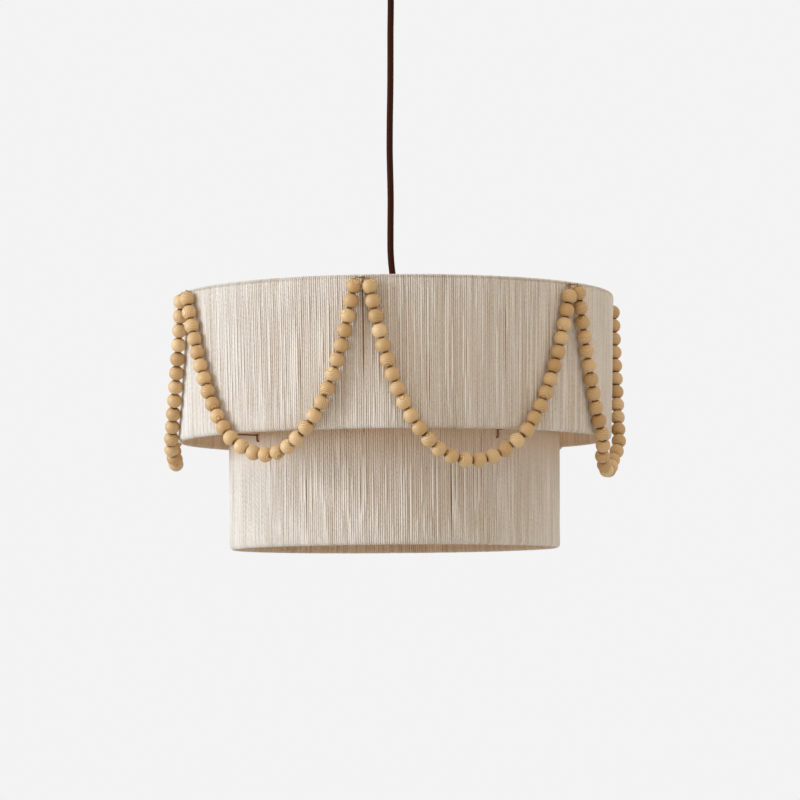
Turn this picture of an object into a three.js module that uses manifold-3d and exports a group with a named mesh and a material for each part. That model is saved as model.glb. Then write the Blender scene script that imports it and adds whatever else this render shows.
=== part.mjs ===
// A two-tier drum pendant, wrapped in yarn and hung with garlands of wooden beads.
// Lengths are millimetres. +Z is up, and the origin is the middle of the bracket's top face,
// which lies on the ceiling. An angle round the lamp is 0 at -Y, the front, and grows towards +X.
import * as THREE from "three";
import { mergeVertices } from "three/addons/utils/BufferGeometryUtils.js";
import Module from "manifold-3d";

const wasm = await Module();
wasm.setup();

// Fits
const gap = 0.3; // between pieces that touch
const overrun = 4; // how far a cut runs past the face that it opens
const mergeReach = 1e-4; // corners nearer than this are one corner

// Drums: the outside of the yarn
const upperTopRadius = 305;
const upperTaper = 5; // how much less the bottom edge's radius is
const upperHeight = 203;
const tierStep = 71.5; // from the upper drum's bottom edge inwards to the lower drum's top
const lowerTaper = 1;
const lowerHeight = 162;
const lowerTopRise = 13.5; // the lower drum's top above the upper drum's bottom edge
const rimDrop = 468; // from the ceiling to the top of the upper drum

// Wire and yarn
const ringWireRadius = 2.5;
const strutWireRadius = 2;
const yarnThickness = 3;
const drumSides = 40;
const ringSides = 5;
const rimArcSteps = 3;
const strutCount = 8;
const strutTurnShare = -8.3 / 360; // where the first strut stands, as a share of a turn

// Links between the two tiers
const linkWireRadius = 1.2;
const linkDip = 3.2; // how far an arm comes down at most, once inside the yarn
const linkDipShares = [0.12, 0.6, 0.6, 1]; // how far each arm comes down, as a share of that
const linkDipRun = 8; // from the yarn to where an arm has come down
const linkDrop = 11.5; // from the arm's outer end down to the leg's foot
const linkSides = 5;
const linkBend = 2.5;
const bendSteps = 2; // stretches in a rounded corner

// Spider that carries the frame on the hub
const spiderArms = 4;
const spiderWireRadius = 2;
const washerRadius = 20;
const washerThickness = 3;
const armSink = 2; // how far an arm runs into the washer, to join it

// Garlands
const beadRadius = 10;
const beadPitch = 19.6;
const beadEndRadius = 3.4; // the flat that touches the next bead
const beadShoulderShare = 0.2; // from the bead's middle to its shoulder, as a share of the pitch
const beadBoreRadius = 1.7;
const stringRadius = 1;
const stringRun = 2.5; // straight on out of the end beads, before the bend to the knot
const stringStub = 1; // straight out of a knot's side, before the bend to the end bead
const beadSides = 6;
const boreSides = 4;
const garlandTopDrop = 17; // from the rim's top to the middle of an end bead
const tieTurnShares = [-63.3 / 360, -7.5 / 360, 49.5 / 360, 103.5 / 360, 174 / 360, 244.5 / 360];
// For each garland: where its lowest bead hangs, its two end beads' drops as shares of
// garlandTopDrop, and its two sides' curves. A higher curve makes a side hang straighter.
const garlands = [
  { beads: 29, lowestShare: 0.515, topShares: [0.94, 1], curves: [1.35, 3.1] },
  { beads: 30, lowestShare: 0.48, topShares: [1.06, 1.35], curves: [3.1, 2.35] },
  { beads: 30, lowestShare: 0.49, topShares: [1, 1.06], curves: [1.85, 3] },
  { beads: 29, lowestShare: 0.48, topShares: [1, 1.06], curves: [2.6, 2.3] },
  { beads: 29, lowestShare: 0.52, topShares: [1.06, 1], curves: [2.3, 2.7] },
  { beads: 28, lowestShare: 0.5, topShares: [0.94, 1.06], curves: [1.2, 2.1] },
];
const leaveShare = 0.85; // where a garland starts to leave the drum, as a share of its height
const freeDrop = 30; // from the drum's bottom edge down to where the garland hangs quite free
const lineSteps = 240; // points that a garland's line is measured on
const halvings = 40;

// Ties that hold the garlands on the top ring
const knotRadius = 2.2;
const tieRadius = 0.9;
const tieSides = 5;

// Ceiling fitting
const canopyRadius = 62.5;
const canopyHeight = 28;
const canopyWall = 1.5;
const canopyShoulder = 10; // radius of the round edge
const canopySides = 20;
const canopyArcSteps = 2;
const bracketLength = 104;
const bracketWidth = 18;
const bracketThickness = 2;
const bracketSlotLength = 12;
const bracketSlotWidth = 4.6;
const bracketSlotReach = 24; // from the middle to the middle of each slot
const canopyScrewReach = 44;
const canopyScrewRadius = 2;
const screwHeadRadius = 5;
const screwHeadHeight = 5;
const screwSides = 8;
const knobWaistShare = 0.6; // a knob's narrow ends, as a share of its radius
const terminalLength = 26;
const terminalWidth = 13;
const terminalHeight = 12;

// Cord and its two grips
const cordRadius = 4.5;
const cordSides = 8;
const coreRadius = 1.3; // the bared wires inside the canopy
const swingAngle = THREE.MathUtils.degToRad(12);
const canopyGripRadius = 11;
const canopyGripHeight = 16; // below the canopy
const canopyGripNeck = 8; // the thread inside the canopy
const gripNeckRadius = 6;
const gripNutRadius = 10;
const gripNutHeight = 4;
const canopyGripMouth = 3; // how deep the cord's end sits in the flared mouth
const hubGripRadius = 11;
const hubGripHeight = 18;
const gripTopRadius = 7;
const gripLip = 1.6; // the rim of the mouth
const gripSides = 10;
const nutSides = 6;

// Hub and lamp cluster
const stemRadius = 5;
const stemBore = 3.4;
const stemLength = 46;
const hubNutRadius = 10;
const hubNutHeight = 5;
const clusterRadius = 25;
const clusterHeight = 30;
const clusterWall = 2;
const clusterSides = 16;
const clusterCapLip = 3;
const finialRadius = 6;
const finialHeight = 12;
const lampCount = 3;
const lampTurnShare = 30 / 360; // where the first lamp stands
const lampReach = 78; // from the lamp's axis to each bulb
const armRadius = 5;
const armBore = 3.2;
const armBend = 16;
const armDrop = 26; // from the arm's level to the lampholder
const armSides = 6;
const leadRadius = 1;
const leadReach = 1.7; // from the lamp's axis, inside the stem
const leadTail = 6; // how far the lead runs on past the arm's end
const leadSides = 4;
const holderRadius = 19;
const holderHeight = 48;
const holderWall = 3.5;
const holderShoulder = 5;
const holderSides = 12;

// Bulb
const bulbRadius = 30;
const bulbLength = 108;
const bulbCapRadius = 13.2;
const bulbCapLength = 26;
const bulbCapShow = 2; // the cap's length left outside the lampholder
const bulbContactHeight = 5;
const bulbSides = 12;
// The glass from its tip up, as shares of the bulb's radius and of the glass's length
const bulbGlobeShares = [
  [0, 0], [0.53, 0.05], [0.88, 0.19], [1, 0.36], [0.92, 0.53], [0.68, 0.72], [0.5, 0.88],
];

// Worked out from the above
const wrapHalf = ringWireRadius + gap + yarnThickness;
const upperBottomRadius = upperTopRadius - upperTaper;
const lowerTopRadius = upperBottomRadius - tierStep;
const lowerBottomRadius = lowerTopRadius - lowerTaper;
const rimTop = -rimDrop;
const upperBottom = rimTop - upperHeight;
const lowerTop = upperBottom + lowerTopRise;
const lowerBottom = lowerTop - lowerHeight;
const upperRings = {
  topZ: rimTop - wrapHalf,
  topR: upperTopRadius - wrapHalf,
  bottomZ: upperBottom + wrapHalf,
  bottomR: upperBottomRadius - wrapHalf,
};
const lowerRings = {
  topZ: lowerTop - wrapHalf,
  topR: lowerTopRadius - wrapHalf,
  bottomZ: lowerBottom + wrapHalf,
  bottomR: lowerBottomRadius - wrapHalf,
};
const strutPhase = strutTurnShare * 2 * Math.PI;
const strutAngles = evenAngles(strutCount, strutPhase);
const linkAngles = strutAngles.filter((_, i) => i % 2 === 1);
const spiderAngles = evenAngles(spiderArms, strutPhase);
const lampAngles = evenAngles(lampCount, lampTurnShare * 2 * Math.PI);
const tieAngles = tieTurnShares.map((share) => share * 2 * Math.PI);
const knotReach = upperTopRadius + gap + knotRadius;
const hubZ = upperRings.topZ;
const hubGripTop = hubZ + washerThickness / 2 + gap + hubGripHeight;
const canopyGripBottom = -canopyHeight - canopyGripHeight;
const cordTop = canopyGripBottom + canopyGripMouth;
const stemTop = hubZ + washerThickness / 2 + hubGripHeight / 2;
const stemBottom = stemTop - stemLength;
const clusterTop = stemBottom + hubNutHeight + clusterWall;
const clusterBottom = clusterTop - clusterHeight;
const armZ = (clusterTop + clusterBottom) / 2;
const leadBend = stemBottom - armZ - leadRadius; // the leads turn below the stem
const holderTop = armZ - armDrop;
const holderBottom = holderTop - holderHeight;
const chamberTop = holderBottom + bulbCapLength - bulbCapShow;
const bulbTop = chamberTop - gap;

// The cord's middle line, chosen by hand: how far to the side, and how high
const cordRoute = [
  [0, cordTop], [0, -54], [-0.3, -74], [-0.8, -98], [-1.0, -122], [-1.2, -146], [-1.5, -170],
  [-2.0, -194], [-2.6, -218], [-3.0, -242], [-3.2, -266], [-2.9, -290], [-2.5, -314],
  [-2.4, -338], [-2.8, -362], [-3.1, -386], [-3.1, -404], [-2.2, -422], [-0.8, -436],
  [0, -446], [0, hubGripTop + gap],
].map(([side, height]) => new THREE.Vector3(side, 0, height));

// Finishes
const steelPaint = finish("#5b3a28", 0.5, 0.4);
const bronze = finish("#3c2a20", 0.45, 0.7);
const yarn = finish("#d8cfbf", 0.95, 0);
const wood = finish("#cfa873", 0.6, 0);
const twine = finish("#9a7148", 0.9, 0);
const cloth = finish("#37201a", 0.85, 0);
const copper = finish("#b4683c", 0.4, 0.8);
const plastic = finish("#e6e2d8", 0.5, 0);
const blackPlastic = finish("#201c1a", 0.5, 0);
const opal = finish("#f4efe4", 0.3, 0);
const steel = finish("#a9a9a6", 0.35, 0.9);

function finish(color, roughness, metalness) {
  return new THREE.MeshStandardMaterial({ color, roughness, metalness });
}

// Places

function evenAngles(count, first) {
  return Array.from({ length: count }, (_, i) => first + (i * 2 * Math.PI) / count);
}

function around(angle, radius, z) {
  return new THREE.Vector3(radius * Math.sin(angle), -radius * Math.cos(angle), z);
}

// Solids

function solid(geometry) {
  const bare = geometry.clone();
  bare.deleteAttribute("normal");
  bare.deleteAttribute("uv");
  const merged = mergeVertices(bare, mergeReach);
  return new wasm.Manifold(
    new wasm.Mesh({
      numProp: 3,
      vertProperties: Float32Array.from(merged.attributes.position.array),
      triVerts: Uint32Array.from(merged.index.array),
    }),
  );
}

function shape(manifold) {
  const { vertProperties, triVerts } = manifold.getMesh();
  const geometry = new THREE.BufferGeometry();
  geometry.setAttribute("position", new THREE.BufferAttribute(Float32Array.from(vertProperties), 3));
  geometry.setIndex(new THREE.BufferAttribute(Uint32Array.from(triVerts), 1));
  geometry.computeVertexNormals();
  return geometry;
}

function cut(body, tools) {
  return shape(tools.reduce((rest, tool) => rest.subtract(solid(tool)), solid(body)));
}

function join(pieces) {
  return shape(pieces.map(solid).reduce((whole, piece) => whole.add(piece)));
}

// A profile of [radius, height] points, up the outside first, turned round the Z axis.
function turned(profile, sides, phase = 0) {
  const points = profile.map(([r, z]) => new THREE.Vector2(r, z));
  return new THREE.LatheGeometry(points, sides, phase).rotateX(Math.PI / 2);
}

function tubeProfile(outer, bore, bottom, top) {
  return [[outer, bottom], [outer, top], [bore, top], [bore, bottom], [outer, bottom]];
}

// A straight rod from one point to another.
function rod(from, to, radius, sides) {
  const along = to.clone().sub(from);
  const geometry = new THREE.CylinderGeometry(radius, radius, along.length(), sides);
  const turn = new THREE.Quaternion().setFromUnitVectors(
    new THREE.Vector3(0, 1, 0),
    along.clone().normalize(),
  );
  const middle = from.clone().add(to).multiplyScalar(1 / 2);
  return geometry.applyQuaternion(turn).translate(middle.x, middle.y, middle.z);
}

// A closed solid of rings along a line. Each station has a place, a radius and a side that
// keeps the rings from twisting.
function swept(stations, sides) {
  const places = stations.map((station) => station.at);
  const positions = [];
  stations.forEach((station, i) => {
    const before = places[Math.max(i - 1, 0)];
    const after = places[Math.min(i + 1, places.length - 1)];
    const along = after.clone().sub(before).normalize();
    const across = along.clone().cross(station.side).normalize();
    const out = across.clone().cross(along);
    for (let s = 0; s < sides; s += 1) {
      const angle = (s * 2 * Math.PI) / sides;
      const corner = station.at
        .clone()
        .addScaledVector(out, station.radius * Math.cos(angle))
        .addScaledVector(across, station.radius * Math.sin(angle));
      positions.push(corner.x, corner.y, corner.z);
    }
  });
  const index = [];
  const last = (stations.length - 1) * sides;
  for (let i = 0; i < last; i += sides) {
    for (let s = 0; s < sides; s += 1) {
      const a = i + s;
      const b = i + ((s + 1) % sides);
      index.push(a, b, b + sides, a, b + sides, a + sides);
    }
  }
  for (let s = 1; s < sides - 1; s += 1) {
    index.push(0, s + 1, s, last, last + s, last + s + 1);
  }
  const geometry = new THREE.BufferGeometry();
  geometry.setAttribute("position", new THREE.Float32BufferAttribute(positions, 3));
  geometry.setIndex(index);
  return geometry;
}

// A round hole's radius round a shaft, with the gap kept at the middle of each flat.
function clear(radius, sides) {
  return (radius + gap) / Math.cos(Math.PI / sides);
}

// Points of a line in the upright plane at an angle, given as [reach, height], each corner
// with the length that its bend takes of both its sides.
function bentLine(angle, points) {
  const corners = points.map(([reach, z]) => around(angle, reach, z));
  const line = [corners[0]];
  for (let i = 1; i < corners.length - 1; i += 1) {
    const bend = points[i][2];
    const before = corners[i - 1].clone().sub(corners[i]).setLength(bend).add(corners[i]);
    const after = corners[i + 1].clone().sub(corners[i]).setLength(bend).add(corners[i]);
    const corner = new THREE.QuadraticBezierCurve3(before, corners[i], after);
    line.push(...corner.getPoints(bendSteps));
  }
  line.push(corners[corners.length - 1]);
  return line;
}

// A wire of one radius along a bent line, its ends moved out by an extra length.
function bentWire(angle, points, radius, sides, extra = 0) {
  const line = bentLine(angle, points);
  const side = new THREE.Vector3(Math.cos(angle), Math.sin(angle), 0);
  line[0].add(line[0].clone().sub(line[1]).setLength(extra));
  const end = line.length - 1;
  line[end].add(line[end].clone().sub(line[end - 1]).setLength(extra));
  return swept(line.map((at) => ({ at, radius, side })), sides);
}

const lamp = new THREE.Group();

function place(name, geometry, material) {
  const mesh = new THREE.Mesh(geometry, material);
  mesh.name = name;
  lamp.add(mesh);
}

// Ceiling fitting

function bracket() {
  const plate = new THREE.Shape();
  const halfLength = bracketLength / 2;
  const halfWidth = bracketWidth / 2;
  plate.moveTo(-halfLength, -halfWidth);
  plate.lineTo(halfLength, -halfWidth);
  plate.lineTo(halfLength, halfWidth);
  plate.lineTo(-halfLength, halfWidth);
  plate.closePath();
  for (const side of [-1, 1]) {
    const slot = new THREE.Path();
    const slotEnd = (bracketSlotLength - bracketSlotWidth) / 2;
    const radius = bracketSlotWidth / 2;
    slot.absarc(side * bracketSlotReach + slotEnd, 0, radius, -Math.PI / 2, Math.PI / 2, false);
    slot.absarc(side * bracketSlotReach - slotEnd, 0, radius, Math.PI / 2, -Math.PI / 2, false);
    plate.holes.push(slot);
    const hole = new THREE.Path();
    hole.absarc(side * canopyScrewReach, 0, clear(canopyScrewRadius, screwSides), 0, 2 * Math.PI);
    plate.holes.push(hole);
  }
  const settings = { depth: bracketThickness, bevelEnabled: false, curveSegments: screwSides / 2 };
  return new THREE.ExtrudeGeometry(plate, settings).translate(0, 0, -bracketThickness);
}

function arcPoints(r, z, radius, from, to, steps) {
  return Array.from({ length: steps + 1 }, (_, i) => {
    const angle = from + ((to - from) * i) / steps;
    return [r + radius * Math.cos(angle), z + radius * Math.sin(angle)];
  });
}

function canopy() {
  const bottom = -canopyHeight;
  const hole = clear(gripNeckRadius, canopySides);
  const edgeR = canopyRadius - canopyShoulder;
  const edgeZ = bottom + canopyShoulder;
  const inner = canopyShoulder - canopyWall;
  const quarter = -Math.PI / 2;
  const profile = [
    [hole, bottom],
    ...arcPoints(edgeR, edgeZ, canopyShoulder, quarter, 0, canopyArcSteps),
    [canopyRadius, 0],
    [canopyRadius - canopyWall, 0],
    ...arcPoints(edgeR, edgeZ, inner, 0, quarter, canopyArcSteps),
    [hole, bottom + canopyWall],
    [hole, bottom],
  ];
  const radius = clear(canopyScrewRadius, screwSides);
  const holes = [-1, 1].map((side) =>
    rod(
      new THREE.Vector3(side * canopyScrewReach, 0, bottom - overrun),
      new THREE.Vector3(side * canopyScrewReach, 0, bottom + overrun),
      radius,
      screwSides,
    ),
  );
  return cut(turned(profile, canopySides), holes);
}

function canopyScrew(side) {
  const headTop = -canopyHeight - gap;
  const profile = [
    [0, headTop - screwHeadHeight],
    [screwHeadRadius * knobWaistShare, headTop - screwHeadHeight],
    [screwHeadRadius, headTop - screwHeadHeight / 2],
    [screwHeadRadius * knobWaistShare, headTop],
    [canopyScrewRadius, headTop],
    [canopyScrewRadius, -gap],
    [0, -gap],
  ];
  return turned(profile, screwSides).translate(side * canopyScrewReach, 0, 0);
}

function canopyGrip() {
  const flangeTop = -canopyHeight - gap;
  const neckTop = -canopyHeight + canopyGripNeck;
  const cordHole = clear(cordRadius, gripSides) / Math.cos(swingAngle);
  const mouth = cordHole + canopyGripMouth * Math.tan(swingAngle);
  const shoulder = cordTop + cordRadius * Math.sin(swingAngle) + gap;
  const coreHole = clear(coreRadius, gripSides);
  const profile = [
    [mouth, canopyGripBottom],
    [mouth + gripLip, canopyGripBottom],
    [canopyGripRadius, flangeTop - canopyGripHeight / 2],
    [canopyGripRadius, flangeTop],
    [gripNeckRadius, flangeTop],
    [gripNeckRadius, neckTop],
    [coreHole, neckTop],
    [coreHole, shoulder],
    [cordHole, shoulder],
    [cordHole, cordTop],
    [mouth, canopyGripBottom],
  ];
  return turned(profile, gripSides);
}

function nut(outer, shaft, bottom, top) {
  return turned(tubeProfile(outer, clear(shaft, nutSides), bottom, top), nutSides);
}

place("ceiling_bracket", bracket(), steel);
place("canopy", canopy(), bronze);
[-1, 1].forEach((side, i) => place(`canopy_screw_${i + 1}`, canopyScrew(side), bronze));
place("canopy_grip", canopyGrip(), bronze);
const nutBottom = -canopyHeight + canopyWall + gap;
place("canopy_grip_nut", nut(gripNutRadius, gripNeckRadius, nutBottom, nutBottom + gripNutHeight), steel);
const terminalTop = -bracketThickness - gap;
place(
  "terminal_block",
  new THREE.BoxGeometry(terminalLength, terminalWidth, terminalHeight)
    .translate(0, 0, terminalTop - terminalHeight / 2),
  plastic,
);
place(
  "canopy_lead",
  rod(
    new THREE.Vector3(0, 0, cordTop + gap),
    new THREE.Vector3(0, 0, terminalTop - terminalHeight - gap),
    coreRadius,
    leadSides,
  ),
  copper,
);

// Cord

function pendantCord() {
  const section = new THREE.Shape(evenAngles(cordSides, 0).map(
    (angle) => new THREE.Vector2(cordRadius * Math.cos(angle), cordRadius * Math.sin(angle)),
  ));
  const path = new THREE.CatmullRomCurve3(cordRoute);
  return new THREE.ExtrudeGeometry(section, { steps: cordRoute.length - 1, extrudePath: path });
}

place("pendant_cord", pendantCord(), cloth);

// Hub and spider

function hubGrip() {
  const bottom = hubZ + washerThickness / 2 + gap;
  const stemHole = clear(stemRadius, gripSides);
  const profile = [
    [stemHole, bottom],
    [hubGripRadius, bottom],
    [hubGripRadius, bottom + hubGripHeight / 2],
    [gripTopRadius, hubGripTop],
    [stemBore, hubGripTop],
    [stemBore, stemTop + gap],
    [stemHole, stemTop + gap],
    [stemHole, bottom],
  ];
  return turned(profile, gripSides);
}

function spider() {
  const hole = clear(stemRadius, gripSides);
  const half = washerThickness / 2;
  const washer = turned(tubeProfile(washerRadius, hole, hubZ - half, hubZ + half), gripSides);
  const reach = upperRings.topR - ringWireRadius - gap;
  const arms = spiderAngles.map((angle) =>
    rod(
      around(angle, washerRadius - armSink, hubZ),
      around(angle, reach, hubZ),
      spiderWireRadius,
      linkSides,
    ),
  );
  return join([washer, ...arms]);
}

place("hub_grip", hubGrip(), bronze);
place("hub_stem", turned(tubeProfile(stemRadius, stemBore, stemBottom, stemTop), gripSides), steel);
const hubNutTop = hubZ - washerThickness / 2 - gap;
place("hub_nut", nut(hubNutRadius, stemRadius, hubNutTop - hubNutHeight, hubNutTop), steel);
place("spider", spider(), steelPaint);

// Lamp cluster

function clusterBody() {
  const hole = clear(stemRadius, clusterSides);
  const inside = clusterRadius - clusterWall;
  const profile = [
    [inside, clusterBottom],
    [clusterRadius, clusterBottom],
    [clusterRadius, clusterTop],
    [hole, clusterTop],
    [hole, clusterTop - clusterWall],
    [inside, clusterTop - clusterWall],
    [inside, clusterBottom],
  ];
  const ports = lampAngles.map((angle) =>
    rod(
      around(angle, inside - overrun, armZ),
      around(angle, clusterRadius + overrun, armZ),
      clear(armRadius, armSides),
      armSides,
    ),
  );
  return cut(turned(profile, clusterSides), ports);
}

function clusterCap() {
  const top = clusterBottom - gap;
  const bottom = top - clusterWall;
  const lip = clusterRadius - clusterWall / Math.cos(Math.PI / clusterSides) - 2 * gap;
  const tip = bottom - finialHeight;
  const profile = [
    [0, tip],
    [finialRadius * knobWaistShare, tip],
    [finialRadius, tip + finialHeight / 3],
    [finialRadius * knobWaistShare, bottom],
    [clusterRadius, bottom],
    [clusterRadius, top],
    [lip, top],
    [lip, top + clusterCapLip],
    [0, top + clusterCapLip],
  ];
  return turned(profile, clusterSides);
}

const elbow = [lampReach, armZ, armBend];
const armEnd = holderTop - holderWall;

function lampArm(angle) {
  const line = [[clusterRadius - clusterWall, armZ], elbow, [lampReach, armEnd]];
  const outside = bentWire(angle, line, armRadius, armSides);
  return cut(outside, [bentWire(angle, line, armBore, armSides, overrun)]);
}

function lampLead(angle) {
  const start = [[leadReach, hubGripTop], [leadReach, armZ, leadBend]];
  const line = [...start, elbow, [lampReach, armEnd - leadTail]];
  return bentWire(angle, line, leadRadius, leadSides);
}

function lampholder() {
  const armHole = clear(armRadius, holderSides);
  const seat = holderTop - holderWall - gap;
  const bore = clear(bulbCapRadius, holderSides);
  return turned(
    [
      [bore, holderBottom],
      [holderRadius, holderBottom],
      [holderRadius, holderTop - holderShoulder],
      [holderRadius - holderShoulder, holderTop],
      [armHole, holderTop],
      [armHole, seat],
      [armBore, seat],
      [armBore, chamberTop],
      [bore, chamberTop],
      [bore, holderBottom],
    ],
    holderSides,
  );
}

function bulb() {
  const globe = bulbGlobeShares.map(([radiusShare, lengthShare]) => [
    bulbRadius * radiusShare,
    bulbTop - bulbLength + (bulbLength - bulbCapLength) * lengthShare,
  ]);
  return turned(
    [
      ...globe,
      [bulbCapRadius, bulbTop - bulbCapLength],
      [bulbCapRadius, bulbTop - bulbContactHeight],
      [bulbCapRadius / 2, bulbTop],
      [0, bulbTop],
    ],
    bulbSides,
  );
}

place("cluster_body", clusterBody(), bronze);
const clusterNutTop = clusterTop - clusterWall - gap;
place("cluster_nut", nut(hubNutRadius, stemRadius, clusterNutTop - hubNutHeight, clusterNutTop), steel);
place("cluster_cap", clusterCap(), bronze);
lampAngles.forEach((angle, i) => {
  const { x, y } = around(angle, lampReach, 0);
  place(`lamp_arm_${i + 1}`, lampArm(angle), bronze);
  place(`lamp_lead_${i + 1}`, lampLead(angle), copper);
  place(`lampholder_${i + 1}`, lampholder().translate(x, y, 0), blackPlastic);
  place(`bulb_${i + 1}`, bulb().translate(x, y, 0), opal);
});

// Drums: a wire frame in a shell of yarn

function ringSolid(radius, z) {
  const profile = arcPoints(radius, z, ringWireRadius, 0, 2 * Math.PI, ringSides);
  return turned(profile, drumSides, strutPhase);
}

function lineRadius(rings, z) {
  const share = (rings.topZ - z) / (rings.topZ - rings.bottomZ);
  return THREE.MathUtils.lerp(rings.topR, rings.bottomR, share);
}

function drumFrame(rings) {
  const struts = strutAngles.map((angle) =>
    rod(
      around(angle, rings.topR, rings.topZ),
      around(angle, rings.bottomR, rings.bottomZ),
      strutWireRadius,
      ringSides,
    ),
  );
  return join([
    ringSolid(rings.topR, rings.topZ),
    ringSolid(rings.bottomR, rings.bottomZ),
    ...struts,
  ]);
}

function drumWrap(rings, holes) {
  const outside = [
    ...arcPoints(rings.topR, rings.topZ, wrapHalf, 0, Math.PI, rimArcSteps),
    ...arcPoints(rings.bottomR, rings.bottomZ, wrapHalf, Math.PI, 2 * Math.PI, rimArcSteps),
  ];
  const half = ringWireRadius + gap;
  const top = rings.topZ + half;
  const bottom = rings.bottomZ - half;
  const inside = [
    [lineRadius(rings, top) + half, top],
    [lineRadius(rings, top) - half, top],
    [lineRadius(rings, bottom) - half, bottom],
    [lineRadius(rings, bottom) + half, bottom],
  ];
  const closed = (profile) => turned([...profile, profile[0]], drumSides, strutPhase);
  return cut(closed(outside), [closed(inside), ...holes]);
}

// A hole through one layer of the yarn, from the wire's line outwards (1) or inwards (-1).
function wrapHole(angle, radius, z, direction, wire) {
  const end = radius + direction * (wrapHalf + overrun);
  return rod(around(angle, radius, z), around(angle, end, z), clear(wire, linkSides), linkSides);
}

const linkZ = upperRings.bottomZ;
const linkFootZ = linkZ - linkDrop;
const linkFootRadius = lineRadius(lowerRings, linkFootZ);
const upperHoles = [
  ...spiderAngles.map((a) => wrapHole(a, upperRings.topR, hubZ, -1, spiderWireRadius)),
  ...linkAngles.map((a) => wrapHole(a, upperRings.bottomR, linkZ, -1, linkWireRadius)),
  ...tieAngles.map((a) => wrapHole(a, upperRings.topR, upperRings.topZ, 1, tieRadius)),
];
const lowerHoles = linkAngles.map((a) => wrapHole(a, linkFootRadius, linkFootZ, 1, linkWireRadius));

place("upper_frame", drumFrame(upperRings), steelPaint);
place("lower_frame", drumFrame(lowerRings), steelPaint);
place("upper_wrap", drumWrap(upperRings, upperHoles), yarn);
place("lower_wrap", drumWrap(lowerRings, lowerHoles), yarn);

// Links that hang the lower drum in the upper one

function tierLink(angle, dipShare) {
  const wallRadius = Math.max(lowerTopRadius, linkFootRadius + wrapHalf);
  const legRadius = wallRadius + gap + linkWireRadius;
  const yarnReach = upperRings.bottomR - wrapHalf;
  const armZ = linkZ - dipShare * linkDip;
  const line = [
    [upperRings.bottomR - ringWireRadius - gap, linkZ],
    [yarnReach, linkZ, linkBend],
    [yarnReach - linkDipRun, armZ, linkBend],
    [legRadius, armZ, linkBend],
    [legRadius, linkFootZ, linkBend],
    [linkFootRadius + strutWireRadius + gap, linkFootZ],
  ];
  return bentWire(angle, line, linkWireRadius, linkSides);
}

linkAngles.forEach((angle, i) => {
  const link = tierLink(angle, linkDipShares[i % linkDipShares.length]);
  place(`tier_link_${i + 1}`, link, steelPaint);
});

// Ties and garlands

function knotPoint(angle) {
  return around(angle, knotReach, upperRings.topZ);
}

function garlandTie(angle) {
  const ballRadius = knotRadius * Math.cos(Math.PI / 6); // at half the knot's reach
  const stations = [
    [upperRings.topR + ringWireRadius + gap, tieRadius],
    [knotReach - knotRadius, tieRadius],
    [knotReach - knotRadius / 2, ballRadius],
    [knotReach + knotRadius / 2, ballRadius],
    [knotReach + knotRadius, tieRadius],
  ];
  const side = new THREE.Vector3(0, 0, 1);
  const rings = stations.map(([reach, radius]) => ({
    at: around(angle, reach, upperRings.topZ),
    radius,
    side,
  }));
  return swept(rings, tieSides);
}

// The line through the middles of a garland's beads, which sags between two ties. It lies on
// the upper drum, and below the drum it hangs in the upright plane through the two places
// where it leaves.
function hangingLine(from, to, design, lowestDrop) {
  const beadLineRadius = upperTopRadius + gap + beadRadius;
  const offset = (beadRadius + gap) / beadLineRadius;
  const { lowestShare, topShares, curves } = design;
  const stops = Array.from({ length: lineSteps + 1 }, (_, i) => {
    const share = i / lineSteps;
    const side = share < lowestShare ? 0 : 1; // left or right of the lowest point
    const reach = (share - lowestShare) / (side - lowestShare);
    const rise = (Math.cosh(curves[side] * reach) - 1) / (Math.cosh(curves[side]) - 1);
    const drop = THREE.MathUtils.lerp(lowestDrop, garlandTopDrop * topShares[side], rise);
    return { angle: from + offset + (to - from - 2 * offset) * share, drop };
  });
  const low = stops.filter(({ drop }) => drop > leaveShare * upperHeight);
  const [start, end] = low.length ? [low[0].angle, low[low.length - 1].angle] : [from, to];
  const planeReach = (beadLineRadius - upperTaper) * Math.cos((end - start) / 2);
  return stops.map(({ angle, drop }) => {
    const onDrum = beadLineRadius - Math.min(drop / upperHeight, 1) * upperTaper;
    const free = planeReach / Math.cos(angle - (start + end) / 2);
    const share = THREE.MathUtils.smoothstep(drop, upperHeight, upperHeight + freeDrop);
    return around(angle, THREE.MathUtils.lerp(onDrum, free, share), rimTop - drop);
  });
}

function runs(line) {
  const sums = [0];
  line.slice(1).forEach((point, i) => sums.push(sums[i] + point.distanceTo(line[i])));
  return sums;
}

// The lowest drop that makes the line as long as the beads on it, found by halving.
function garlandLine(from, to, design) {
  const length = (design.beads - 1) * beadPitch;
  let low = garlandTopDrop;
  let high = garlandTopDrop + length;
  for (let i = 0; i < halvings; i += 1) {
    const middle = (low + high) / 2;
    const reached = runs(hangingLine(from, to, design, middle)).pop();
    if (reached < length) low = middle;
    else high = middle;
  }
  return hangingLine(from, to, design, low);
}

// The point at a length along a line, and past its ends along its last stretch.
function pointAlong(line, sums, length) {
  let i = sums.findIndex((sum) => sum > length);
  if (i < 0) i = sums.length - 1;
  i = Math.max(i, 1);
  const share = (length - sums[i - 1]) / (sums[i] - sums[i - 1]);
  return line[i - 1].clone().lerp(line[i], share);
}

function outward(point) {
  return new THREE.Vector3(point.x, point.y, 0).normalize();
}

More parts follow.
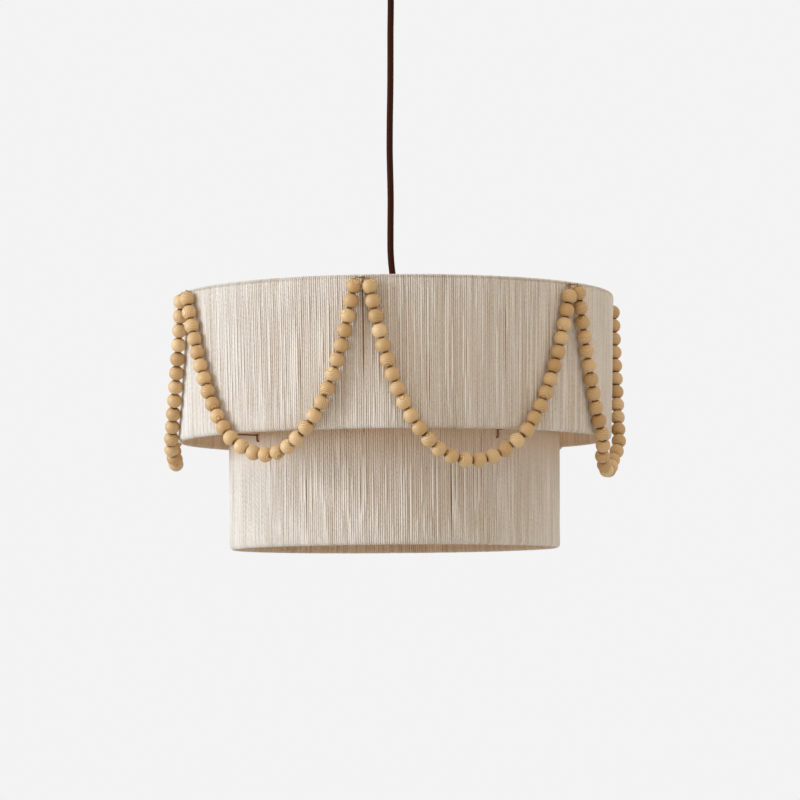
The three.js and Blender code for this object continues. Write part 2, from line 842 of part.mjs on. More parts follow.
function garland(from, to, design) {
  const line = garlandLine(from, to, design);
  const sums = runs(line);
  const station = (length, radius) => {
    const at = pointAlong(line, sums, length);
    return { at, radius, side: outward(at) };
  };
  const outside = [];
  const bore = [];
  const string = [];
  for (let i = 0; i <= design.beads; i += 1) {
    const end = (i - 1 / 2) * beadPitch;
    outside.push(station(end, beadEndRadius));
    bore.push(station(end, beadBoreRadius));
    string.push(station(end, stringRadius));
    if (i < design.beads) {
      for (const side of [-1, 1]) {
        outside.push(station((i + side * beadShoulderShare) * beadPitch, beadRadius));
      }
    }
  }
  const beads = cut(swept(outside, beadSides), [swept(lengthened(bore, overrun), boreSides)]);
  const threaded = lengthened(string, stringRun);
  const row = [...tiedEnd(from, 1), ...threaded, ...tiedEnd(to, -1).reverse()];
  return { beads, string: swept(row, boreSides) };
}

// The end of a string, which comes out of the side of its knot: 1 is the side of growing angle.
function tiedEnd(angle, way) {
  const sideways = new THREE.Vector3(Math.cos(angle), Math.sin(angle), 0);
  return [0, stringStub].map((run) => {
    const away = way * (knotRadius + gap + run);
    const at = knotPoint(angle).addScaledVector(sideways, away);
    return { at, radius: stringRadius, side: outward(at) };
  });
}

// A row of stations with one more beyond each end.
function lengthened(row, length) {
  const beyond = (end, next) => {
    const away = end.at.clone().sub(next.at).setLength(length);
    return { ...end, at: end.at.clone().add(away) };
  };
  const last = row.length - 1;
  return [beyond(row[0], row[1]), ...row, beyond(row[last], row[last - 1])];
}

tieAngles.forEach((angle, i) => place(`garland_tie_${i + 1}`, garlandTie(angle), twine));
garlands.forEach((design, i) => {
  const last = i === garlands.length - 1;
  const next = last ? tieAngles[0] + 2 * Math.PI : tieAngles[i + 1];
  const { beads, string } = garland(tieAngles[i], next, design);
  place(`garland_beads_${i + 1}`, beads, wood);
  place(`garland_string_${i + 1}`, string, twine);
});

export default lamp;
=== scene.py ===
import math

import bpy
import numpy as np
from mathutils import Matrix, Vector


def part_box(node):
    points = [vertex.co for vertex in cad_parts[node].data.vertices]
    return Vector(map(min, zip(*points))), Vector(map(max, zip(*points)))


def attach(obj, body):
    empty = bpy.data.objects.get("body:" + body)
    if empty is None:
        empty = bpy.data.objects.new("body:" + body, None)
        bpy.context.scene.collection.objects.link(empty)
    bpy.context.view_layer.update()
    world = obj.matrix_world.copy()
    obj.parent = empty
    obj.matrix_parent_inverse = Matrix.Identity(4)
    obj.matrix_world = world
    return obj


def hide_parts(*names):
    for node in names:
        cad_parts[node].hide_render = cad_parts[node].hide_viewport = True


# A two-tier drum pendant wrapped in yarn, with garlands of wooden beads.
# Lengths are metres. An angle round the lamp is 0 at -Y, the front, and grows towards +X.

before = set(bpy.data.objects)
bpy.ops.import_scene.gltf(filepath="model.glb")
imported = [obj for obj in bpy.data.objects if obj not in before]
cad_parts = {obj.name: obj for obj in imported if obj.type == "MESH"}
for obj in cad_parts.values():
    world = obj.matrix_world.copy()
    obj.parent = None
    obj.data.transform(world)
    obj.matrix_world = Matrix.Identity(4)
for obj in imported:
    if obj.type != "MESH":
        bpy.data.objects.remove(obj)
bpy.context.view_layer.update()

# The photograph's frame and the camera that fits it
PHOTO_WIDTH = 800
FOCAL_PIXELS = 3366
SENSOR_WIDTH = 36
CAMERA_PLACE = (-0.00735, -4.643, -0.9446)
CAMERA_PITCH = 0.0715  # radians above the horizon
CAMERA_YAW = 0.00337
CAMERA_ROLL = 0.0082

# Drums, as built: the outside of the yarn
UPPER_TOP_RADIUS = 0.305
UPPER_BOTTOM_RADIUS = 0.300
LOWER_TOP_RADIUS = 0.2285
LOWER_BOTTOM_RADIUS = 0.2275
UPPER_LOW, UPPER_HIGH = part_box("upper_wrap")
LOWER_LOW, LOWER_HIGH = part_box("lower_wrap")
GAP = 0.0003
RING_WIRE = 0.0025
YARN_LAYER = 0.003
WRAP_HALF = RING_WIRE + GAP + YARN_LAYER  # from a ring's middle to the yarn's outside
STRUT_START = math.radians(-8.3)

# Yarn
UPPER_STRANDS = 640
LOWER_STRANDS = 480
YARN_HALF_WIDTH = 0.00134
YARN_HALF_DEPTH = 0.0013
YARN_SPARE = 0.0003  # between the topmost strands and the wall's outside
YARN_SINK = 0.0013  # how much deeper most strands lie than the few that ride on top
RISE_START = 0.25  # of the noise that makes a strand ride on top
RISE_RUN = 0.2
YARN_PACKING = 0.0034  # from a ring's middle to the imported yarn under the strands
YARN_STRAY = 0.0006  # how far bunches of strands stray to the side
YARN_LEAN = 0.0005
YARN_WOBBLE = 0.00016
YARN_LIFT = 0.00015  # how unevenly the strands lie
YARN_PLY_RISE = 0.007  # in which a yarn's plies wind round each other once
YARN_TURN_SHARES = (0.5, 0.7, 0.81, 0.93, 0.07, 0.19, 0.3)  # corners of a strand, seam at the back
SIDE_STEPS = 13
RIM_STEPS = 5
YARN_JITTER = 0.05  # how unevenly strands are spaced, as a share of their spacing
BUNCH_STRANDS = 3.4
LOOSE_COLUMNS = 46  # columns of noise round a drum
LEAN_COLUMNS = 60
PATCH_COLUMNS = 90
WIDTH_SPREAD = 0.12
DEPTH_SPREAD = 0.08
FRONT_REACH = 0.12  # of a turn
BACK_UNEVENNESS = 0.28  # 1 is how unevenly the strands lie at the front
MEAN_TONE = 0.5
STRAND_TONE = 0.35
PATCH_TONE = 0.15
RAISED_HIGHLIGHT_TONE = 0.9  # painted highlight: how much paler the strands that ride on top are painted
# painted warm bounce light: how much paler and warmer the lower drum's outside is painted under the
# upper drum
PAINTED_BOUNCE_TONE = 0.8
SLIT_SPREAD = 3  # strands
SLIT_PACKING = 1.1
SLIT_TOP_FADE = 0.06
SLIT_BOTTOM_FADE = 0.25

# Garlands
BEAD_RADIUS = 0.010
BEAD_PITCH = 0.0196
BEAD_MOUTH = 0.0027
BORE_RADIUS = 0.0017
GARLAND_TOP_DROP = 0.017
TIE_DEGREES = (-63.3, -7.5, 49.5, 103.5, 174, 244.5)
GARLANDS = (  # beads, the lowest place's share of the span, the ends' drops and the sides' curves
    (29, 0.515, (0.94, 1), (1.35, 3.1)),
    (30, 0.48, (1.06, 1.35), (3.1, 2.35)),
    (30, 0.49, (1, 1.06), (1.85, 3)),
    (29, 0.48, (1, 1.06), (2.6, 2.3)),
    (29, 0.52, (1.06, 1), (2.3, 2.7)),
    (28, 0.5, (0.94, 1.06), (1.2, 2.1)),
)
LEAVE_SHARE = 0.85
FREE_DROP = 0.03
LINE_STEPS = 240
HALVINGS = 40
KNOT_RADIUS = 0.0022
TWINE_PLY = 0.00055  # radius of one of the twine's two plies

# Cord: its middle line as (side, height)
CORD_RADIUS = 0.0045
CORD_ROUTE = (
    (0, -0.041), (0, -0.054), (-0.0003, -0.074), (-0.0008, -0.098), (-0.0010, -0.122),
    (-0.0012, -0.146), (-0.0015, -0.170), (-0.0020, -0.194), (-0.0026, -0.218), (-0.0030, -0.242),
    (-0.0032, -0.266), (-0.0029, -0.290), (-0.0025, -0.314), (-0.0024, -0.338), (-0.0028, -0.362),
    (-0.0031, -0.386), (-0.0031, -0.404), (-0.0022, -0.422), (-0.0008, -0.436), (0, -0.446),
    (0, -0.4537),
)

TURN = 2 * math.pi


def around(angle, radius=1, height=0):
    """Points at angles round the lamp's axis."""
    parts = np.broadcast_arrays(radius * np.sin(angle), -radius * np.cos(angle), height)
    return np.stack(parts, axis=-1).astype(float)


def new_object(name, data):
    made = bpy.data.objects.new(name, data)
    bpy.context.collection.objects.link(made)
    return made


# Camera


def make_camera():
    data = bpy.data.cameras.new("camera")
    data.sensor_width = SENSOR_WIDTH
    data.lens = SENSOR_WIDTH * FOCAL_PIXELS / PHOTO_WIDTH
    camera = new_object("camera", data)
    yaw = Matrix.Rotation(-CAMERA_YAW, 4, "Z")
    pitch = Matrix.Rotation(TURN / 4 + CAMERA_PITCH, 4, "X")
    roll = Matrix.Rotation(-CAMERA_ROLL, 4, "Z")
    camera.matrix_world = Matrix.Translation(CAMERA_PLACE) @ yaw @ pitch @ roll
    bpy.context.scene.camera = camera


make_camera()

# Meshes


def tube_faces(stations, sides, tubes=1, closed=True):
    """Quads of tubes that are all alike and whose vertices follow each other."""
    start = np.arange(tubes)[:, None, None] * stations * sides
    i = np.arange(stations if closed else stations - 1)[None, :, None]
    j = np.arange(sides)[None, None, :]
    after, beside = (i + 1) % stations, (j + 1) % sides
    corners = (i * sides + j, i * sides + beside, after * sides + beside, after * sides + j)
    return np.stack([start + corner for corner in corners], axis=-1).reshape(-1, 4)


def rod_faces(stations, sides):
    """The faces of one open tube, with a flat cap on each end."""
    caps = np.stack([np.arange(sides)[::-1], (stations - 1) * sides + np.arange(sides)])
    return [tube_faces(stations, sides, closed=False), caps]


def give(piece, name, values):
    """A number or a vector kept on each vertex, for the material."""
    values = np.asarray(values, dtype=np.float32)
    kind, field = ("FLOAT", "value") if values.ndim == 1 else ("FLOAT_VECTOR", "vector")
    attribute = piece.data.attributes.new(name, kind, "POINT")
    attribute.data.foreach_set(field, values.ravel())


def unit(vectors):
    return vectors / np.linalg.norm(vectors, axis=-1, keepdims=True)


def directions(line, closed=False):
    if closed:
        return unit(np.roll(line, -1, axis=-2) - np.roll(line, 1, axis=-2))
    return unit(np.gradient(line, axis=-2))


def rings(line, out, half_depth, half_width, turn_shares, closed=False):
    """Rings of points round a line. out points away from the line at a turn share of 0."""
    along = directions(line, closed)
    across = unit(np.cross(along, out))
    out = np.cross(across, along)
    angles = np.asarray(turn_shares)[:, None] * TURN
    lift = np.asarray(half_depth)[..., None, None] * out[..., None, :] * np.cos(angles)
    shift = np.asarray(half_width)[..., None, None] * across[..., None, :] * np.sin(angles)
    return line[..., None, :] + lift + shift


def even_shares(count):
    return np.arange(count) / count


def run_sums(line):
    """How far along a line each of its points is."""
    return np.concatenate([[0], np.cumsum(np.linalg.norm(np.diff(line, axis=0), axis=1))])


SHARP = math.radians(40)
LOOK = "_look"  # a material is named after its slot, with this behind


def add_piece(name, material, node, *parts, body="lamp", sharp=True):
    """A smooth piece on its body, in place of its CAD node.

    A part is its points and a list of arrays of faces, one for each size of face."""
    points = [np.reshape(part[0], (-1, 3)) for part in parts]
    starts = np.cumsum([0] + [len(row) for row in points])
    faces = []
    for part, start in zip(parts, starts):
        for group in part[1]:
            faces.extend((group + start).tolist())
    mesh = bpy.data.meshes.new(name)
    mesh.from_pydata(np.concatenate(points), [], faces)
    mesh.validate()
    mesh.shade_smooth()
    if sharp:
        mesh.set_sharp_from_angle(angle=SHARP)
    mesh.materials.append(material)
    piece = new_object(name, mesh)
    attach(piece, body)
    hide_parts(node)
    return piece


def rod(angle, line, radius, sides=16):
    """A round rod along [radius, height] points in the upright plane at an angle."""
    line = around(angle, line[:, 0], line[:, 1])
    out = around(angle + TURN / 4)
    return rings(line, out, radius, radius, even_shares(sides)), rod_faces(len(line), sides)


def eased(corners, steps=4):
    """Points of a section. A corner's third number is how far its rounding reaches, or none."""
    places = [np.array(corner[:2], dtype=float) for corner in corners]
    line = []
    for i, corner in enumerate(corners):
        if len(corner) < 3:
            line.append(places[i])
            continue
        ends = []
        for other in (places[i - 1], places[(i + 1) % len(corners)]):
            away = other - places[i]
            ends.append(places[i] + away * min(corner[2] / np.linalg.norm(away), 0.5))
        t = np.linspace(0, 1, steps + 1)[:, None]
        line.extend((1 - t) ** 2 * ends[0] + 2 * t * (1 - t) * places[i] + t * t * ends[1])
    return np.array(line)


def lathe(section, at=0, sides=64, closed=True, flutes=None):
    """A turned part from [radius, height] points, up the outside. An open one gets flat ends.

    flutes is how many there are, how deep, and between which heights."""
    angles = even_shares(sides) * TURN
    reach = np.repeat(section[:, :1], sides, axis=1)
    if flutes is not None:
        count, depth, low, high = flutes
        outside = (section[:, 1] > low) & (section[:, 1] < high)
        reach = reach - outside[:, None] * depth * (0.5 - 0.5 * np.cos(angles * count))
    points = around(angles, reach, section[:, 1:]) + at
    stations = len(section)
    faces = [tube_faces(stations, sides)] if closed else rod_faces(stations, sides)
    return points, faces


NUT_RADIUS = 0.010  # to its corners
NUT_CHAMFER = 0.0007
NUT_FACE_SHARE = 1.03  # radius of its end faces, as a share of its flats' radius


def nut(bore, low, high, sides=72):
    """A hexagonal nut whose corners are turned off at both faces."""
    flat = NUT_RADIUS * math.cos(math.pi / 6)
    angles = even_shares(sides) * TURN
    sector = (angles % (TURN / 6)) - TURN / 12
    hexagon = flat / np.cos(sector)
    trimmed = np.minimum(hexagon, flat * NUT_FACE_SHARE)
    hole = np.full(sides, bore)
    rows = (
        (trimmed, low), (hexagon, low + NUT_CHAMFER),
        (hexagon, high - NUT_CHAMFER), (trimmed, high),
        (hole, high), (hole, low),
    )
    points = np.concatenate([around(angles, reach, height) for reach, height in rows])
    return points, [tube_faces(len(rows), sides)]


def threaded(radius, thread, low, high, bore, at=0, sides=40, steps=8):
    """A sleeve from low to high, with a screw thread of some depth and pitch outside."""
    depth, pitch = thread
    count = max(round((high - low) / pitch * steps), 2)
    heights = np.linspace(low, high, count + 1)[:, None]
    shares = even_shares(sides)[None, :]
    wave = 0.5 + 0.5 * np.cos((heights / pitch - shares) * TURN)
    fade = np.clip(np.minimum(heights - low, high - heights) / pitch * 2, 0, 1)
    outside = around(shares * TURN, radius - depth * (1 - wave * fade), heights)
    inside = around(shares * TURN, bore, np.array([[high], [low]]))
    points = np.concatenate([outside, inside]) + at
    return points, [tube_faces(count + 3, sides)]


# Materials

LINEAR_KNEE = 0.04045


def linear(color):
    """A colour written as #rrggbb, as the shader's own numbers."""
    shares = [int(color[i:i + 2], 16) / 255 for i in (1, 3, 5)]
    return [s / 12.92 if s <= LINEAR_KNEE else ((s + 0.055) / 1.055) ** 2.4 for s in shares] + [1]


class NodeTree:
    """Short ways to add and join the nodes of a material or of the world."""

    def __init__(self, tree):
        self.tree = tree

    def put(self, socket, value):
        if isinstance(value, bpy.types.NodeSocket):
            self.tree.links.new(value, socket)
        else:
            socket.default_value = value

    def fill(self, node, values):
        for key, value in values.items():
            self.put(node.inputs[key.replace("_", " ")], value)

    def node(self, kind, settings=None, **values):
        made = self.tree.nodes.new(kind)
        for key, value in (settings or {}).items():
            setattr(made, key, value)
        self.fill(made, values)
        return made

    def math(self, operation, first, second=0.0):
        made = self.node("ShaderNodeMath", {"operation": operation})
        self.put(made.inputs[0], first)
        self.put(made.inputs[1], second)
        return made.outputs[0]


class Finish(NodeTree):
    """A material under construction."""

    def __init__(self, name, roughness, **sockets):
        self.material = bpy.data.materials.new(name + LOOK)
        self.material.use_nodes = True
        super().__init__(self.material.node_tree)
        self.shader = self.tree.nodes["Principled BSDF"]
        self.fill(self.shader, {"Roughness": roughness, **sockets})

    def place(self):
        return self.node("ShaderNodeTexCoord").outputs["Object"]

    def kept(self, name, output="Fac"):
        return self.node("ShaderNodeAttribute", {"attribute_name": name}).outputs[output]

    def noise(self, vector, scale, detail, stretch=None):
        if stretch:
            mapping = self.node("ShaderNodeMapping", Vector=vector, Scale=stretch)
            vector = mapping.outputs["Vector"]
        made = self.node("ShaderNodeTexNoise", Vector=vector, Scale=scale, Detail=detail)
        return made.outputs["Fac"]

    def ramp(self, factor, stops):
        made = self.node("ShaderNodeValToRGB", Fac=factor)
        elements = made.color_ramp.elements
        while len(elements) < len(stops):
            elements.new(1)
        for element, (place, color) in zip(elements, stops):
            element.position = place
            element.color = linear(color)
        return made.outputs["Color"]

    def weighed(self, *terms):
        """The sum of values, each times its weight."""
        total, *others = [self.math("MULTIPLY", value, weight) for value, weight in terms]
        for other in others:
            total = self.math("ADD", total, other)
        return total

    def mixed(self, factor, first, second, way="MIX"):
        made = self.node("ShaderNodeMix", {"data_type": "RGBA", "blend_type": way})
        for socket, value in ((0, factor), (6, first), (7, second)):
            self.put(made.inputs[socket], value)
        return made.outputs[2]

    def tint(self, color):
        self.put(self.shader.inputs["Base Color"], color)

    def mottle(self, factor, colors):
        """A colour between two, by a factor that is noise."""
        self.tint(self.ramp(factor, tuple(zip((0.3, 0.7), colors))))

    def bump(self, height, distance, strength):
        made = self.node("ShaderNodeBump", Height=height, Distance=distance, Strength=strength)
        self.put(self.shader.inputs["Normal"], made.outputs["Normal"])


SLIT_SHADE_FLAG = -1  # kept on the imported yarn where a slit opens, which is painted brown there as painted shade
# painted shade: the colour of the imported yarn seen through a slit
SLIT_SHADE_COLOR = "#996838"
INNER_SHADE_COLOR = "#f6e2cb"  # painted shade: what the yarn's colour is multiplied by on the drums' inner faces, and partly on the lower drum's outside under the upper drum


def yarn_finish():
    made = Finish("drum_yarn", 0.92, Sheen_Weight=0.15, Sheen_Roughness=0.6, Specular_IOR_Level=0.2)
    strand = made.node("ShaderNodeSeparateXYZ", Vector=made.kept("strand", "Vector"))
    turn, along, tone = strand.outputs
    place = made.place()
    flecks = made.noise(place, 620, 6, (1, 1, 0.5))
    patches = made.noise(place, 24, 3, (1, 1, 0.2))
    shade = made.weighed((tone, 0.35), (flecks, 0.5), (patches, 0.15))
    stops = ((0.25, "#cdbfa8"), (0.43, "#e1d6c4"), (0.57, "#ede5d9"), (0.75, "#f9f2e4"))
    faces = made.ramp(shade, stops)
    # 0 on the strand's outer face, 1 at its back
    deep = made.math("MULTIPLY", made.math("ABSOLUTE", made.math("SUBTRACT", turn, 0.5)), 2)
    inside = made.kept("inside")
    # Painted shade: the strands' flanks and backs are painted tan, where shade falls between the
    # strands
    sides = made.ramp(deep, ((0.22, "#ffffff"), (0.5, "#f1ddcb"), (1, "#ecd6c2")))
    color = made.mixed(1.0, faces, sides, "MULTIPLY")
    # Painted shade: the yarn is tinted darker and warmer on the drums' inner faces and on the top of
    # the lower drum's outside, under the upper drum
    color = made.mixed(inside, color, linear(INNER_SHADE_COLOR), "MULTIPLY")
    # Painted shade: where a slit opens, the imported yarn is painted brown
    slit = made.math("MULTIPLY", tone, 1 / SLIT_SHADE_FLAG)
    made.tint(made.mixed(slit, color, linear(SLIT_SHADE_COLOR)))
    # Two plies that wind round each other
    wound = made.weighed((turn, 2), (along, 1 / YARN_PLY_RISE))
    plies = made.math("SINE", made.math("MULTIPLY", wound, TURN))
    fuzz = made.noise(place, 2600, 5)
    made.bump(made.weighed((plies, 0.18), (fuzz, 1)), 0.0009, 0.85)
    return made.material


def wood_finish():
    made = Finish("bead_wood", 0.56, Specular_IOR_Level=0.9)
    grain = made.kept("grain", "Vector")
    tone = made.kept("tone")
    fibres = made.noise(grain, 900, 5, (1, 0.12, 1))
    bands = made.node(
        "ShaderNodeTexWave",
        {"wave_type": "BANDS", "bands_direction": "X"},
        Vector=grain, Scale=185, Distortion=2.4, Detail=2.0, Detail_Scale=1.2,
    ).outputs["Fac"]
    shade = made.weighed((tone, 0.35), (fibres, 0.3), (bands, 0.42))
    stops = ((0.25, "#a5793f"), (0.42, "#c29556"), (0.58, "#d2aa6f"), (0.85, "#ebcd9c"))
    # Painted shade: the bead's ends are painted dark brown where neighbouring beads touch
    mouth = made.kept("mouth")
    made.tint(made.mixed(mouth, made.ramp(shade, stops), linear("#5c3216")))
    made.bump(made.weighed((fibres, 0.7), (bands, 0.3)), 0.00012, 0.6)
    return made.material


def twine_finish():
    made = Finish("bead_twine", 0.85, Sheen_Weight=0.1)
    fibres = made.noise(made.place(), 1800, 4, (1, 1, 0.4))
    made.tint(made.ramp(fibres, ((0.25, "#8a6238"), (0.5, "#b08655"), (0.75, "#cfa979"))))
    made.bump(fibres, 0.0003, 0.8)
    return made.material


def braid_finish():
    made = Finish("cord_cloth", 0.85, Specular_IOR_Level=0.08)
    over = made.kept("braid")
    fibres = made.noise(made.place(), 3000, 4)
    # Painted shade: the dips between the braid's threads are painted darker and its crests lighter
    shade = made.weighed((over, 0.5), (fibres, 0.5))
    made.tint(made.ramp(shade, ((0.2, "#241008"), (0.5, "#3a1a0e"), (0.8, "#55291a"))))
    made.bump(fibres, 0.0002, 0.6)
    return made.material


def metal_finish(name, colors, roughness, metallic):
    """Metal or paint with a faint mottling and fine scratches."""
    made = Finish(name, roughness, Metallic=metallic)
    place = made.place()
    mottle = made.noise(place, 60, 4)
    scratches = made.noise(place, 900, 3, (1, 1, 0.08))
    made.mottle(made.weighed((mottle, 0.7), (scratches, 0.3)), colors)
    rough = made.math("ADD", made.math("MULTIPLY", scratches, 0.2), roughness - 0.1)
    made.put(made.shader.inputs["Roughness"], rough)
    made.bump(scratches, 0.00008, 0.4)
    return made.material


def plain_finish(name, colors, roughness, scale=400, **sockets):
    """Moulded plastic or glass with a faint unevenness."""
    made = Finish(name, roughness, **sockets)
    grain = made.noise(made.place(), scale, 3)
    made.mottle(grain, colors)
    made.bump(grain, 0.00006, 0.3)
    return made.material


YARN = yarn_finish()
WOOD = wood_finish()
TWINE = twine_finish()
BRAID = braid_finish()
BRONZE = metal_finish("bronze_metal", ("#2f211a", "#4a3427"), 0.42, 0.7)
PAINT = metal_finish("frame_paint", ("#6e3d20", "#93562f"), 0.5, 0.2)
ZINC = metal_finish("zinc_steel", ("#8f8f8c", "#b4b4b0"), 0.38, 0.95)
COPPER = metal_finish("copper_wire", ("#7a4022", "#a25a30"), 0.45, 0.1)
WHITE = plain_finish("white_plastic", ("#e2ddd2", "#efebe2"), 0.5)
BLACK = plain_finish("black_plastic", ("#161413", "#262220"), 0.42)
OPAL = plain_finish("opal_glass", ("#f1ece0", "#f8f4ea"), 0.22, 120, Coat_Weight=0.3)

# Noise


def smoothed(share):
    return share * share * (3 - 2 * share)


def drum_noise(rng, turn, height, columns, rows):
    """Smooth noise from -1 to 1 over shares of a turn, which wrap, and of a height."""
    lattice = rng.uniform(-1, 1, (columns, rows + 1))
    u = (turn % 1) * columns
    v = np.clip(height, 0, 1) * rows
    i = np.floor(u).astype(int) % columns
    j = np.minimum(np.floor(v).astype(int), rows - 1)
    across, up = smoothed(u - np.floor(u)), smoothed(v - j)
    beside = (i + 1) % columns
    low = lattice[i, j] * (1 - across) + lattice[beside, j] * across
    high = lattice[i, j + 1] * (1 - across) + lattice[beside, j + 1] * across
    return low * (1 - up) + high * up


# Cord


def smooth_line(points, steps):
    """A spline through the points, as a three.js catmull-rom curve of its default kind."""
    points = np.asarray(points, dtype=float)
    ends = [2 * points[0] - points[1], *points, 2 * points[-1] - points[-2]]
    line = []
    for p0, p1, p2, p3 in zip(ends, ends[1:], ends[2:], ends[3:]):
        d0, d1, d2 = (np.linalg.norm(b - a) ** 0.5 for a, b in ((p0, p1), (p1, p2), (p2, p3)))
        t1 = ((p1 - p0) / d0 - (p2 - p0) / (d0 + d1) + (p2 - p1) / d1) * d1
        t2 = ((p2 - p1) / d1 - (p3 - p1) / (d1 + d2) + (p3 - p2) / d2) * d1
        s = even_shares(steps)[:, None]
        square, cube = s * s, s * s * s
        line.extend(
            (2 * cube - 3 * square + 1) * p1 + (cube - 2 * square + s) * t1
            + (3 * square - 2 * cube) * p2 + (cube - square) * t2
        )
    line.append(points[-1])
    return np.array(line)


BRAID_THREADS = 12  # each way round
BRAID_RISE = 0.018  # a thread's climb in one turn
BRAID_RELIEF = 0.00022
CORD_SIDES = 48
CORD_STEPS = 24


def make_cord():
    line = smooth_line([(side, 0, height) for side, height in CORD_ROUTE], CORD_STEPS)
    sums = run_sums(line)
    shares = even_shares(CORD_SIDES)
    climb = sums[:, None] / BRAID_RISE * BRAID_THREADS
    right = shares * BRAID_THREADS + climb
    left = shares * BRAID_THREADS - climb
    checks = np.sin((right + left) * math.pi / 2) * np.sin((right - left) * math.pi / 2)
    weave = np.sin(np.where(checks > 0, right, left) * math.pi) ** 2
    radius = CORD_RADIUS - BRAID_RELIEF * (1 - weave)
    unit_rings = rings(line, (0, 1, 0), 1, 1, shares)
    middle = line[:, None]
    vertices = middle + (unit_rings - middle) * radius[..., None]
    part = (vertices, rod_faces(len(line), CORD_SIDES))
    cord = add_piece("cord_braided", BRAID, "pendant_cord", part, body="cord", sharp=False)
    # The braid's relief, which the material also uses for painted shade in its dips
    give(cord, "braid", weave.ravel())


make_cord()

# Yarn on the drums


def drum_rings(top_radius, bottom_radius, top, bottom):
    """Where the middles of a drum's two wire rings are: radius and height of each."""
    high = (top_radius - WRAP_HALF, top - WRAP_HALF)
    low = (bottom_radius - WRAP_HALF, bottom + WRAP_HALF)
    return np.array(high), np.array(low)


def strand_path(high, low, offset):
    """One turn of yarn over both rings: each point's radius, height, way out and share down."""
    down = np.linspace(0, 1, SIDE_STEPS + 1)[:, None]
    arc = np.linspace(0, math.pi, RIM_STEPS + 1)[1:-1]
    rows = []
    for start, end, way, angles in ((high, low, 1, -arc), (low, high, -1, math.pi - arc)):
        wall = start + (end - start) * down + (way * offset, 0)
        rows.append(np.column_stack([wall, np.tile((way, 0), (len(down), 1))]))
        lean = np.column_stack([np.cos(angles), np.sin(angles)])
        rows.append(np.column_stack([end + offset * lean, lean]))
    path = np.concatenate(rows).T
    return *path, (high[1] - path[1]) / (high[1] - low[1])


def apart(turn, degrees):
    """How far shares of a turn are from one place round the drum, the short way."""
    return (turn - degrees / 360 + 0.5) % 1 - 0.5


def packing(high, low, columns, slits):
    """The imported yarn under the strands, and what its points keep for the material."""
    reach, height, out_r, _, share = strand_path(high, low, YARN_PACKING)
    turn = even_shares(columns)[:, None]
    points = around(turn * TURN, reach, height)
    kept = np.zeros(points.shape)
    kept[..., 2] = MEAN_TONE
    # Painted shade: the imported yarn is flagged where a slit opens
    for at, _, top, bottom in slits:
        near = np.abs(apart(turn, at)) < SLIT_PACKING / columns
        kept[near & (out_r > 0) & (share > top) & (share < bottom), 2] = SLIT_SHADE_FLAG
    inner = np.broadcast_to(out_r < 0, points.shape[:-1])
    part = (points, [tube_faces(columns, len(reach))])
    return part, kept.reshape(-1, 3), inner.ravel()


def slit_push(turns, shares, strands, slits):
    """How far the slits push the strands aside."""
    pushes = []
    for at, half_width, top, bottom in slits:
        away = apart(turns, at) * strands
        fade = np.clip((shares - top) / SLIT_TOP_FADE, 0, 1)
        fade = fade * np.clip((bottom - shares) / SLIT_BOTTOM_FADE, 0, 1)
        spread = np.sign(away) * np.exp(-np.abs(away) / SLIT_SPREAD)
        pushes.append(half_width * spread * smoothed(fade))
    return sum(pushes)


def strand_marks(rng, line, turns, shares, raised, painted_bounce):
    """What the strands' points keep for the material: turn, length along, and tone, which also
    carries painted highlight and painted bounce light.
    """
    strands = len(line)
    steps = np.linalg.norm(np.diff(line, axis=1, append=line[:, :1]), axis=-1)
    along = np.cumsum(steps, axis=1) + rng.uniform(0, YARN_PLY_RISE, strands)[:, None]
    tone = MEAN_TONE + STRAND_TONE * drum_noise(rng, turns, shares, strands, 1)
    tone = tone + PATCH_TONE * drum_noise(rng, turns, shares, PATCH_COLUMNS, 2)
    # Painted highlight on the raised strands, and painted warm bounce light on the lower drum's
    # outside under the upper drum
    tone = tone + RAISED_HIGHLIGHT_TONE * raised + PAINTED_BOUNCE_TONE * painted_bounce
    kept = np.empty((*along.shape, len(YARN_TURN_SHARES), 3))
    kept[..., 0] = (np.asarray(YARN_TURN_SHARES) - 0.5) % 1
    kept[..., 1] = along[..., None]
    kept[..., 2] = tone[..., None]
    return kept.reshape(-1, 3)


